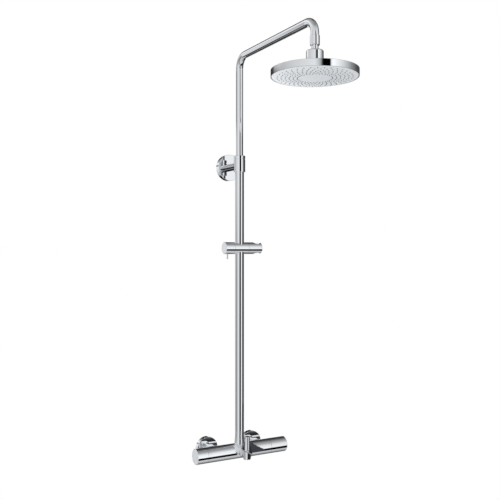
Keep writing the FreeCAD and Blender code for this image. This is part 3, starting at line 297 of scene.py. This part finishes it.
def brass_recipe(bench):
    tarnish = bench.noise(bench.place(), 90, 4).between(0.35, 0.7)
    marks = bench.noise(bench.place((1, 30, 1)), 60, 2)
    return {
        "Base Color": bench.mix(tarnish, BRASS, TARNISH),
        "Roughness": tarnish * 0.16 + marks * 0.08 + 0.16,
        "Normal": bench.bump(marks, 0.03 * MM),
    }


def steel_recipe(bench):
    grain = bench.noise(bench.place((1, 1, 40)), 45, 3)
    return {
        "Base Color": bench.mix(grain, STEEL, STEEL_PALE),
        "Roughness": grain * 0.18 + 0.20,
        "Normal": bench.bump(grain, 0.02 * MM),
    }


def plastic_recipe(bench):
    pebble = bench.noise(bench.place(), 1600, 2)
    shade = bench.noise(bench.place(), 60, 2)
    return {
        "Base Color": bench.mix(shade, PLASTIC, PLASTIC_PALE),
        "Roughness": pebble * 0.16 + 0.42,
        "Normal": bench.bump(pebble, 0.04 * MM),
    }


def rubber_recipe(bench):
    bloom = bench.noise(bench.place(), 240, 4).between(0.4, 0.8)
    return {
        "Base Color": bench.mix(bloom, RUBBER, BLOOM),
        "Roughness": bloom * 0.2 + 0.55,
        "Normal": bench.bump(bloom, 0.05 * MM),
    }


def connector_recipe(bench):
    """Plated as far as the wall, bare brass where the thread goes into it."""
    in_wall = bench.parts(bench.place())[1] > PLATING_ENDS
    bare, plated = brass_recipe(bench), chrome()(bench)
    return {
        "Base Color": bench.mix(in_wall, plated["Base Color"], bare["Base Color"]),
        "Roughness": bare["Roughness"] * in_wall + plated["Roughness"] * (1 - in_wall),
        "Normal": plated["Normal"],
    }


brass = finish("machined_brass", brass_recipe, Metallic=1)
plated_brass = finish("half_plated_connector", connector_recipe, Metallic=1)
steel = finish("brushed_steel", steel_recipe, Metallic=1)
inner_plastic = finish("white_technical_plastic", plastic_recipe)
rubber = finish("black_rubber", rubber_recipe)
print("brass, plated brass, steel, plastic and rubber made")

# %% [markdown]
# # The spray face and its nozzles
# The underside of the head is a broad disc with a satin silver skin, hardly shinier than paint.
# It is painted a little paler towards its rim, painted light that stands in for the rim catching
# more light, and has a fine even grain.
# The soft silicone nozzles are a darker grey, so the rings of nozzles show as rows of dots.

# %% Spray face and silicone
# The paler silver serves both a random cloud of paler tone and the painted light towards the rim.
SILVER, SILVER_PALE_AND_PAINTED_LIGHT = (0.70, 0.725, 0.75, 1), (0.86, 0.875, 0.89, 1)
SILICONE, SILICONE_PALE = (0.17, 0.185, 0.20, 1), (0.27, 0.285, 0.30, 1)
FACE_SATIN = 0.30
HEAD = middle("head_shell")[1]
plate_low, plate_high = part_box("spray_plate")
FACE_RADIUS = (plate_high.x - plate_low.x) / 2


def spray_face_recipe(bench):
    centred = bench.place(shift=(-HEAD.x, -HEAD.y, 0))
    x, y, _ = bench.parts(centred)
    out_from_middle = (x * x + y * y) ** 0.5 / FACE_RADIUS
    # Painted light: paler towards the rim, standing in for the rim catching more light.
    rim = out_from_middle.between(0.55, 1.0)
    grain = bench.noise(centred, 1500, 2)
    cloud = bench.noise(centred, 25, 3)
    return {
        "Base Color": bench.mix(rim * 0.45 + cloud * 0.3, SILVER, SILVER_PALE_AND_PAINTED_LIGHT),
        "Roughness": grain * 0.10 + cloud * 0.06 + FACE_SATIN,
        "Normal": bench.bump(grain, 0.03 * MM),
    }


def silicone_recipe(bench):
    dust = bench.noise(bench.place(), 420, 3)
    return {
        "Base Color": bench.mix(dust, SILICONE, SILICONE_PALE),
        "Roughness": dust * 0.2 + 0.45,
        "Normal": bench.bump(dust, 0.04 * MM),
    }


spray_face = finish("satin_silver_spray_face", spray_face_recipe, Metallic=0.05)
silicone = finish("grey_silicone", silicone_recipe)
print("spray face", round(2 * FACE_RADIUS / MM), "mm across")

# %% [markdown]
# # Handing the finishes out
# Every CAD node names its finish by slot. Most chrome nodes are cast or turned, the long ones are
# drawn tube, and the end discs are satin, so those are named one by one and the rest follow
# their slot.

# %% Dress the CAD nodes
BY_SLOT = {"chrome": cast_chrome, "brass": brass, "steel": steel, "spray_face": spray_face,
           "nozzle": silicone, "inner_plastic": inner_plastic, "rubber": rubber}
BY_NODE = {"lower_tube": tube_chrome, "shower_arm": tube_chrome, "temperature_cap": handle_cap,
           "flow_cap": handle_cap, "clamp_knob": knob_chrome,
           "wall_connector_left": plated_brass, "wall_connector_right": plated_brass}
TURNED = ("union_nut_left", "union_nut_right", "rosette_left", "rosette_right", "bracket_rosette",
          "bracket_collar", "swivel_ring", "arm_nut", "head_collar", "head_shell", "column_nut",
          "diverter_knob", "aerator_ring", "ball_stub")
BY_NODE.update({name: turned_chrome for name in TURNED})

for name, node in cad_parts.items():
    for slot in node.material_slots:
        slot.material = BY_NODE.get(name) or BY_SLOT[slot.material.name]
print(len(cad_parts), "nodes dressed")

# %% [markdown]
# # Geometry Nodes for what repeats
# A field of nozzles, a honeycomb and a screw thread are each one small shape laid out by a rule. A
# node tree states the rule once, with its sizes as named inputs. Each tree is evaluated into a
# plain mesh, because the export drops instances.

# %% A bench for geometry trees


def tree_with(name, inputs):
    """An empty geometry tree with named inputs, its bench and the wires from its inputs."""
    tree = bpy.data.node_groups.new(name, "GeometryNodeTree")
    tree.interface.new_socket("Geometry", in_out="OUTPUT", socket_type="NodeSocketGeometry")
    kinds = {float: "NodeSocketFloat", int: "NodeSocketInt", bpy.types.Object: "NodeSocketObject",
             bpy.types.Material: "NodeSocketMaterial", Vector: "NodeSocketVector"}
    for label, value in inputs.items():
        tree.interface.new_socket(label, in_out="INPUT", socket_type=kinds[type(value)])
    group_in = tree.nodes.new("NodeGroupInput")
    bench = Bench(tree)
    return bench, {label: Wire(bench, group_in.outputs[label]) for label in inputs}


def grown(piece_name, bench, result, inputs, material_wire):
    """Ends the tree in real faces with their material, runs it and keeps the plain mesh."""
    solid = bench.node("GeometryNodeRealizeInstances", {}, {0: result})
    shown = bench.node("GeometryNodeSetMaterial", {}, {
        "Geometry": solid, "Material": material_wire})
    bench.node("NodeGroupOutput", {}, {0: shown}, output=None)
    holder = bpy.data.objects.new(piece_name + "_rule", bpy.data.meshes.new(piece_name + "_rule"))
    bpy.context.scene.collection.objects.link(holder)
    rule = holder.modifiers.new("rule", "NODES")
    rule.node_group = bench.tree
    for item in bench.tree.interface.items_tree:
        if item.in_out == "INPUT":
            rule[item.identifier] = inputs[item.name]
    seen = holder.evaluated_get(bpy.context.evaluated_depsgraph_get())
    mesh = bpy.data.meshes.new_from_object(seen)
    bpy.data.objects.remove(holder)
    mesh.name = piece_name
    piece = bpy.data.objects.new(piece_name, mesh)
    bpy.context.scene.collection.objects.link(piece)
    print(piece_name, len(mesh.polygons), "faces")
    return piece


def turned_mesh(name, profile, sides, start=0.0, hollow=False):
    """A mesh turned about Z from (radius, height) pairs: capped, or joined up with itself."""
    shape = bmesh.new()
    angles = [start + math.tau * k / sides for k in range(sides)]
    rings = [[shape.verts.new((r * math.cos(a), r * math.sin(a), h)) for a in angles]
             for r, h in profile]
    for low, high in zip(rings, rings[1:] + (rings[:1] if hollow else [])):
        for k in range(sides):
            shape.faces.new((low[k], low[(k + 1) % sides], high[(k + 1) % sides], high[k]))
    if not hollow:
        shape.faces.new(rings[0][::-1])
        shape.faces.new(rings[-1])
    bmesh.ops.recalc_face_normals(shape, faces=shape.faces)
    mesh = bpy.data.meshes.new(name)
    shape.to_mesh(mesh)
    shape.free()
    return mesh


def pattern(name, mesh):
    """A shape for a rule to copy. It's taken away again once the piece is grown."""
    shape = bpy.data.objects.new(name, mesh)
    bpy.context.scene.collection.objects.link(shape)
    return shape


def copied(bench, source):
    """The mesh of the object on this input."""
    return bench.node("GeometryNodeObjectInfo", {}, {"Object": source}, output="Geometry")


print("geometry bench ready")

# %% [markdown]
# The nozzles stand in rings, each ring turned a little against the one inside it, on a face that
# bulges downwards like a shallow bowl. The rule works on one running number. Divided by the
# nozzles in a ring, its whole part is the ring and the rest is the place in it. Each nozzle is
# moulded in silicone: a soft cone with a skirt at its root and a jet hole at its tip. It has few
# faces since there are over two hundred.

# %% The field of spray nozzles
RINGS, PER_RING, TWIST = 6, 36, math.radians(4)
INNER_RING, OUTER_RING = 44 * MM, 94 * MM
SKIRT, SHOULDER, NECK = 1.6 * MM, 1.35 * MM, 1.12 * MM
TIP, JET, JET_FLOOR = 0.9 * MM, 0.5 * MM, 0.4 * MM
head_low = middle("head_shell")[0]
FACE_BULGE = head_low.z - plate_low.z

nozzle_shape = pattern("nozzle_shape", turned_mesh("nozzle_shape", [
    (SKIRT, -0.05 * MM), (SHOULDER, 0.2 * MM), (NECK, 0.5 * MM), (TIP, 1.45 * MM),
    (JET, 1.55 * MM), (JET_FLOOR, 0.6 * MM)], 8))
sizes = {"Nozzle": nozzle_shape, "Rings": RINGS, "Nozzles per ring": PER_RING, "Twist": TWIST,
         "Inner ring": INNER_RING, "Outer ring": OUTER_RING, "Face radius": FACE_RADIUS,
         "Face bulge": FACE_BULGE, "Middle": Vector((HEAD.x, HEAD.y, plate_low.z)),
         "Silicone": silicone}
bench, given = tree_with("nozzle_rule", sizes)
index = bench.node("GeometryNodeInputIndex")
level = (index / given["Nozzles per ring"]).math("FLOOR")
count = index - level * given["Nozzles per ring"]
turn = count / given["Nozzles per ring"] * math.tau + level * given["Twist"]
spread = given["Outer ring"] - given["Inner ring"]
radius = given["Inner ring"] + spread * level / (given["Rings"] - 1)
rise = given["Face bulge"] * (radius / given["Face radius"]) ** 2
spot = bench.node("ShaderNodeCombineXYZ", {}, {
    0: radius * turn.math("COSINE"), 1: radius * turn.math("SINE"), 2: rise})
stand = bench.node("ShaderNodeVectorMath", {"operation": "ADD"}, {0: spot, 1: given["Middle"]})
points = bench.node("GeometryNodePoints", {}, {
    "Count": given["Rings"] * given["Nozzles per ring"], "Position": stand})
lean = radius * given["Face bulge"] * 2 / given["Face radius"] ** 2
outward = bench.node("ShaderNodeCombineXYZ", {}, {
    0: turn.math("COSINE") * lean, 1: turn.math("SINE") * lean, 2: -1.0})
aim = bench.node("FunctionNodeAlignRotationToVector", {"axis": "Z"}, {"Vector": outward})
field = bench.node("GeometryNodeInstanceOnPoints", {}, {
    "Points": points, "Rotation": aim, "Instance": copied(bench, given["Nozzle"])})
spray_nozzles = grown("spray_nozzle_field", bench, field, sizes, given["Silicone"])
bpy.data.objects.remove(nozzle_shape)
for polygon in spray_nozzles.data.polygons:
    polygon.use_smooth = True
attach(spray_nozzles, "head")
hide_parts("spray_nozzles")

# %% [markdown]
# The aerator at the spout's mouth is a plastic insert pierced like a honeycomb, which breaks the
# water into a soft stream. Its cells are short six-sided tubes set on a skewed grid, kept only
# where they fall inside the round rim. Both shapes are hollow: a profile that is turned about the
# axis and closes on itself.

# %% The aerator's honeycomb
core_low, core_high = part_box("aerator_core")
CELL_PITCH, CELL_WALL, RIM_WALL = 1.6 * MM, 0.14 * MM, 0.6 * MM
CELL_RADIUS = CELL_PITCH / math.sqrt(3)
CORE_RADIUS = (core_high.x - core_low.x) / 2
CORE_DEPTH = core_high.z - core_low.z
CELL_DEPTH = CORE_DEPTH * 0.6
COLUMNS, ROWS = 17, 11


def tube_profile(outer, wall, depth):
    return [(outer, 0), (outer, depth), (outer - wall, depth), (outer - wall, 0)]


cell = pattern("cell", turned_mesh(
    "cell", tube_profile(CELL_RADIUS, CELL_WALL, CELL_DEPTH), 6, math.pi / 6, hollow=True))
rim = pattern("rim", turned_mesh(
    "rim", tube_profile(CORE_RADIUS, RIM_WALL, CORE_DEPTH), 48, hollow=True))
core_axis = (core_low + core_high) / 2
sizes = {"Cell": cell, "Rim": rim, "Columns": COLUMNS, "Rows": ROWS, "Pitch": CELL_PITCH,
         "Reach": CORE_RADIUS - RIM_WALL * 0.5 - CELL_RADIUS * 0.5,
         "Plastic": inner_plastic, "Middle": Vector((core_axis.x, core_axis.y, core_low.z))}
bench, given = tree_with("honeycomb_rule", sizes)
index = bench.node("GeometryNodeInputIndex")
row = (index / given["Columns"]).math("FLOOR")
column = index - row * given["Columns"] - (given["Columns"] - 1) / 2
row = row - (given["Rows"] - 1) / 2
across = (column + row * 0.5) * given["Pitch"]
along = row * given["Pitch"] * math.sqrt(0.75)
kept = (across * across + along * along) ** 0.5 < given["Reach"]
spot = bench.node("ShaderNodeCombineXYZ", {}, {0: across, 1: along})
stand = bench.node("ShaderNodeVectorMath", {"operation": "ADD"}, {0: spot, 1: given["Middle"]})
points = bench.node("GeometryNodePoints", {}, {
    "Count": given["Columns"] * given["Rows"], "Position": stand})
cells = bench.node("GeometryNodeInstanceOnPoints", {}, {
    "Points": points, "Selection": kept, "Instance": copied(bench, given["Cell"])})
rim_placed = bench.node("GeometryNodeTransform", {}, {
    "Geometry": copied(bench, given["Rim"]), "Translation": given["Middle"]})
both = bench.node("GeometryNodeJoinGeometry", {}, {0: cells})
bench.into(rim_placed, "GeometryNodeJoinGeometry", 0)
honeycomb = grown("aerator_honeycomb", bench, both, sizes, given["Plastic"])
for shape in (cell, rim):
    bpy.data.objects.remove(shape)
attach(honeycomb, "column")
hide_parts("aerator_core")

# %% [markdown]
# Three half-inch pipe threads show from behind and below: one on each wall connector, where it
# goes into the wall, and one on the outlet for the shower hose. They are cut on a lathe. A thread
# is one ridge that follows a spiral, so a small four-sided outline is swept along it.

# %% The pipe threads
PIPE_PITCH, RIDGE, LEAD = 1.814 * MM, 0.42 * MM, 0.1 * MM
WALL_THREAD, BARE_NECK = 10.25 * MM, 2 * MM
HOSE_SIDE, HOSE_THREAD, HOSE_LENGTH = 25 * MM, 10.2 * MM, 6.6 * MM


def pipe_thread(name, foot, tilt, radius, length, metal):
    """One ridge wound about an axis that starts at foot and leans from Z by tilt."""
    climb = length - 2 * RIDGE
    sizes = {"Radius": radius, "Length": climb, "Turns": climb / PIPE_PITCH, "Ridge": RIDGE,
             "Foot": Vector(foot), "Tilt": Vector(tilt), "Metal": metal}
    bench, given = tree_with("thread_rule", sizes)
    spiral = bench.node("GeometryNodeCurveSpiral", {}, {
        "Resolution": 40, "Rotations": given["Turns"], "Start Radius": given["Radius"],
        "End Radius": given["Radius"], "Height": given["Length"]})
    outline = bench.node("GeometryNodeCurvePrimitiveCircle", {}, {
        "Resolution": 4, "Radius": given["Ridge"]})
    ridge = bench.node("GeometryNodeCurveToMesh", {}, {
        "Curve": spiral, "Profile Curve": outline, "Fill Caps": True})
    placed = bench.node("GeometryNodeTransform", {}, {
        "Geometry": ridge, "Translation": given["Foot"], "Rotation": given["Tilt"]})
    piece = grown(name, bench, placed, sizes, given["Metal"])
    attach(piece, "column")


for side in ("left", "right"):
    low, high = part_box("wall_connector_" + side)
    pipe_thread("wall_thread_" + side, ((low.x + high.x) / 2, high.y - RIDGE - LEAD, 0),
                (math.pi / 2, 0, 0), WALL_THREAD, high.y - BARE_NECK, brass)
mixer_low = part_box("mixer_body")[0]
pipe_thread("hose_thread", (HOSE_SIDE, AXIS.y, mixer_low.z + RIDGE + LEAD), (0, 0, 0),
            HOSE_THREAD, HOSE_LENGTH, turned_chrome)

# %% [markdown]
# # Light, floor and camera
# Chrome has no colour of its own: it shows the room. So the studio matters more than the metal. It
# is described by direction: bands of brightness round the horizon, drawn for a few heights above
# and below it, and blended in between. A broad white panel stands to the front left, a narrow black
# flag next to it gives the crisp dark stripe, and a bright panel stands to its right. Under the
# horizon runs a black gap, then the pale floor.

# %% The studio as rings of panels
FRONT, RIGHT, UP = Vector((-0.48, -0.877, 0)), Vector((0.877, -0.48, 0)), Vector((0, 0, 1))
ROOM, GLASS_TINT, WHITE = (0.93, 0.94, 0.95, 1), (0.97, 0.985, 1.0, 1), (1, 1, 1, 1)

# Each band is a list of (degrees round from the front, brightness), the right side counting up.
FLAG = [(14, 0.03), (16, 0.0), (34, 0.0), (37, 0.9), (42, 1.1)]
BROAD_FLAG = [(-8, 0.8), (-2, 0.25), (2, 0.0), (36, 0.0), (39, 0.9), (43, 1.1)]
TABLE = [(-180, 0.15), (-150, 0.45), (-120, 0.62), (-40, 0.62), (60, 0.70), (100, 0.55),
         (135, 0.25), (180, 0.12)]
HALF_GAP = [(-180, 0.05), (-150, 0.03), (-125, 0.5), (-40, 0.6), (20, 0.62), (34, 0.0),
            (120, 0.0), (180, 0.05)]
GAP = [(-180, 0.04), (-165, 0.03), (-140, 0.0), (140, 0.0), (180, 0.03)]
FRONT_GAP = [(-180, 0.03), (-152, 0.02), (-140, 0.2), (-131, 0.62), (-119, 0.66), (-100, 0.28),
             (-80, 0.26), (-55, 0.58), (-25, 0.80), (-5, 0.7), (5, 0.35), (25, 0.0), (140, 0.0),
             (180, 0.03)]
LOW_BAND = [(-180, 0.03), (-152, 0.02), (-140, 0.2), (-131, 0.62), (-119, 0.66), (-114, 0.32),
            (-100, 0.28), (-80, 0.26), (-55, 0.58), (-25, 0.80), *BROAD_FLAG, (58, 1.0),
            (66, 0.45), (72, 0.13), (130, 0.12), (150, 0.05), (180, 0.03)]
LIT_BAND = [(-180, 0.95), (-172, 0.90), (-166, 0.05), (-152, 0.02), (-140, 0.25), (-131, 0.82),
            (-119, 0.82), (-113, 0.34), (-100, 0.30), (-80, 0.30), (-55, 0.60), (-25, 0.80),
            *BROAD_FLAG, (58, 1.0), (66, 0.5), (72, 0.16), (100, 0.08), (166, 0.04), (174, 0.7),
            (180, 0.9)]
UPPER_BAND = [(-180, 0.95), (-172, 0.90), (-166, 0.05), (-152, 0.02), (-142, 0.30), (-131, 0.90),
              (-119, 0.90), (-113, 0.40), (-95, 0.50), (-72, 0.63), (-43, 0.76), (-17, 0.84),
              (-1, 0.78), (4, 0.0), (35, 0.0), (38, 0.9), (43, 1.1), (58, 0.9), (72, 0.40),
              (85, 0.15), (100, 0.06), (166, 0.04), (174, 0.7), (180, 0.95)]
RIM_BAND = [(-180, 0.03), (-152, 0.0), (-131, 0.14), (-116, 0.27), (-107, 0.38), (-95, 0.48),
            (-72, 0.61), (-43, 0.74), (-17, 0.82), (-5, 0.82), (4, 0.67), (9, 0.42), *FLAG,
            (53, 0.92), (65, 0.78), (82, 0.54), (102, 0.27), (111, 0.2), (128, 0.09), (180, 0.03)]
HIGH_BAND = [(-180, 0.02), (-155, 0.04), (-141, 0.3), (-132, 0.95), (-115, 0.95), (-95, 0.6),
             (-43, 0.7), (-5, 0.8), (9, 0.42), *FLAG, (65, 0.82), (82, 0.6), (102, 0.3),
             (128, 0.06), (180, 0.03)]
SLOPE = [(-180, 0.03), (-155, 0.04), (-142, 0.3), (-132, 0.95), (-105, 0.9), (-43, 0.66), (0, 0.62),
         (60, 0.70), (100, 0.4), (140, 0.04), (180, 0.02)]
CEILING_EDGE = [(-180, 0.08), (-145, 0.10), (-120, 0.5), (-43, 0.55), (60, 0.50), (90, 0.42),
                (120, 0.20), (150, 0.05), (180, 0.04)]
CEILING = [(-180, 0.12), (-120, 0.4), (-43, 0.35), (60, 0.24), (95, 0.30), (120, 0.22),
           (140, 0.11), (180, 0.10)]
BELOW = [(-180, 0.35), (-120, 0.6), (60, 0.6), (110, 0.38), (180, 0.28)]
STUDIO = [  # degrees above the horizon, band
    (-75, BELOW), (-56, TABLE), (-47, TABLE), (-45, HALF_GAP), (-33, HALF_GAP), (-31, GAP),
    (-26, GAP), (-24, FRONT_GAP), (-18, FRONT_GAP), (-17, LOW_BAND), (-2, LIT_BAND),
    (5, UPPER_BAND), (9, UPPER_BAND), (10.5, RIM_BAND), (14, RIM_BAND), (15.5, HIGH_BAND),
    (20, HIGH_BAND), (33, SLOPE), (46, CEILING_EDGE), (61, CEILING)]


def heading(bench, direction, towards):
    return bench.node("ShaderNodeVectorMath", {"operation": "DOT_PRODUCT"}, {
        0: direction, 1: towards}, output="Value")


world = bpy.data.worlds.new("studio")
world.use_nodes = True
bpy.context.scene.world = world
bench = Bench(world.node_tree)
looking = bench.node("ShaderNodeTexCoord", output="Generated")
ahead, aside = heading(bench, looking, FRONT), heading(bench, looking, RIGHT)
azimuth = aside.math("ARCTAN2", ahead) * (180 / math.pi)
elevation = heading(bench, looking, UP).math("ARCSINE") * (180 / math.pi)
round_about = (azimuth + 180) / 360
rings = [bench.node("ShaderNodeValToRGB", {"stops": [((a + 180) / 360, grey) for a, grey in band]},
                    {"Fac": round_about}) for _, band in STUDIO]
glow = rings[0]
for (under, _), (over, _), ring in zip(STUDIO, STUDIO[1:], rings[1:]):
    glow = bench.mix(elevation.between(under, over), glow, ring)
tinted = bench.node("ShaderNodeMix", {"data_type": "RGBA", "blend_type": "MULTIPLY"}, {
    "Factor_Float": 1.0, "A_Color": glow, "B_Color": GLASS_TINT}, output=2)
seen_by_camera = bench.node("ShaderNodeLightPath", output="Is Camera Ray")
seen_in_gloss = bench.node("ShaderNodeLightPath", output="Is Glossy Ray")
soft = bench.mix(seen_in_gloss, ROOM, tinted)
bench.into(bench.mix(seen_by_camera, soft, WHITE), "ShaderNodeBackground", "Color")
print("studio of", len(STUDIO), "rings")

# %% [markdown]
# The floor is a plain pale sheet just under the column's lowest point. It gives off a little light
# of its own, so it runs into the white surround with no line, and it is clear when seen from
# underneath so that the column can be looked at from below.

# %% Floor
FLOOR_SIZE, FLOOR_GAP = 6.0, 1 * MM
FLOOR_Z = cad_box[0].z - FLOOR_GAP


def stage_sheet(name, corners, dress):
    """A flat sheet for the stage, with the surface that dress(bench) gives."""
    mesh = bpy.data.meshes.new(name)
    mesh.from_pydata(corners, [], [tuple(range(len(corners)))])
    material = bpy.data.materials.new(name + "_paper")
    material.use_nodes = True
    bench = Bench(material.node_tree)
    bench.into(dress(bench), "ShaderNodeOutputMaterial", "Surface")
    mesh.materials.append(material)
    sheet = bpy.data.objects.new(name, mesh)
    bpy.context.scene.collection.objects.link(sheet)
    sheet.visible_diffuse = False
    sheet.visible_shadow = False
    return sheet


def pale_paper(bench):
    behind = bench.node("ShaderNodeNewGeometry", output="Backfacing")
    white = bench.node("ShaderNodeEmission", {}, {"Color": WHITE, "Strength": 1.0})
    clear = bench.node("ShaderNodeBsdfTransparent")
    return bench.node("ShaderNodeMixShader", {}, {0: behind, 1: white, 2: clear})


edge = FLOOR_SIZE / 2
floor = stage_sheet("floor", [(-edge, -edge, FLOOR_Z), (edge, -edge, FLOOR_Z),
                              (edge, edge, FLOOR_Z), (-edge, edge, FLOOR_Z)], pale_paper)
floor.visible_glossy = False
print("floor at", round(FLOOR_Z / MM, 1), "mm")

# %% [markdown]
# Matt pieces take their light from two softboxes: a large one high at the front left, and a small
# one under the head that points up at the spray face. They stay out of the mirrors, where only
# the rings of panels and one more thing are seen: a dark card held upright beside the spout. It
# puts a dark wedge on the right half of the bar, with the spout's own outline along one side.

# %% Soft light and the dark card


def soft_panel(name, place, aim, size, power):
    """A square softbox that lights matt pieces and stays out of the mirrors."""
    lamp = bpy.data.lights.new(name, "AREA")
    lamp.shape, lamp.size, lamp.energy = "SQUARE", size, power
    panel = bpy.data.objects.new(name, lamp)
    panel.location = place
    panel.rotation_euler = (Vector(aim) - Vector(place)).to_track_quat("-Z", "Y").to_euler()
    panel.visible_camera = False
    panel.visible_glossy = False
    bpy.context.scene.collection.objects.link(panel)


SLATE = (0.048, 0.052, 0.058, 1)


def slate(bench):
    return bench.node("ShaderNodeEmission", {}, {"Color": SLATE, "Strength": 1.0})


soft_panel("key_panel", (-1.6, -1.6, 1.8), (0, -0.2, 0.6), 1.4, 14)
soft_panel("bounce_panel", (-0.2, -0.2, 0.74), (-0.2, -0.2, 2.0), 0.25, 0.8)
CARD_SIDE = 80 * MM
CARD_OUTLINE = [(-108, -20), (-150, -83), (-205, -165), (-205, 60), (-150, 122), (-50, 125),
                (-54, 104), (-118, 89), (-145, 44), (-138, 9), (-113, -10)]
card = stage_sheet("shade_card", [(CARD_SIDE, y * MM, z * MM) for y, z in CARD_OUTLINE], slate)
card.visible_camera = False
print("softboxes and card placed")

# %% [markdown]
# The camera stands level, a little over two metres off and to the left of the front, at about
# half the column's height, so the head is seen from below and the mixer from above.

# %% Camera
TURN = math.radians(28.7)
STAND = (-0.9794, -1.9317, 0.5964)
lens = bpy.data.cameras.new("camera")
lens.sensor_width, lens.lens = 36, 50.645
camera = bpy.data.objects.new("camera", lens)
camera.location = STAND
camera.rotation_euler = (math.pi / 2, 0, -TURN)
bpy.context.scene.collection.objects.link(camera)
bpy.context.scene.camera = camera
bpy.context.scene.view_settings.view_transform = "Standard"
print("camera", [round(v, 3) for v in STAND])
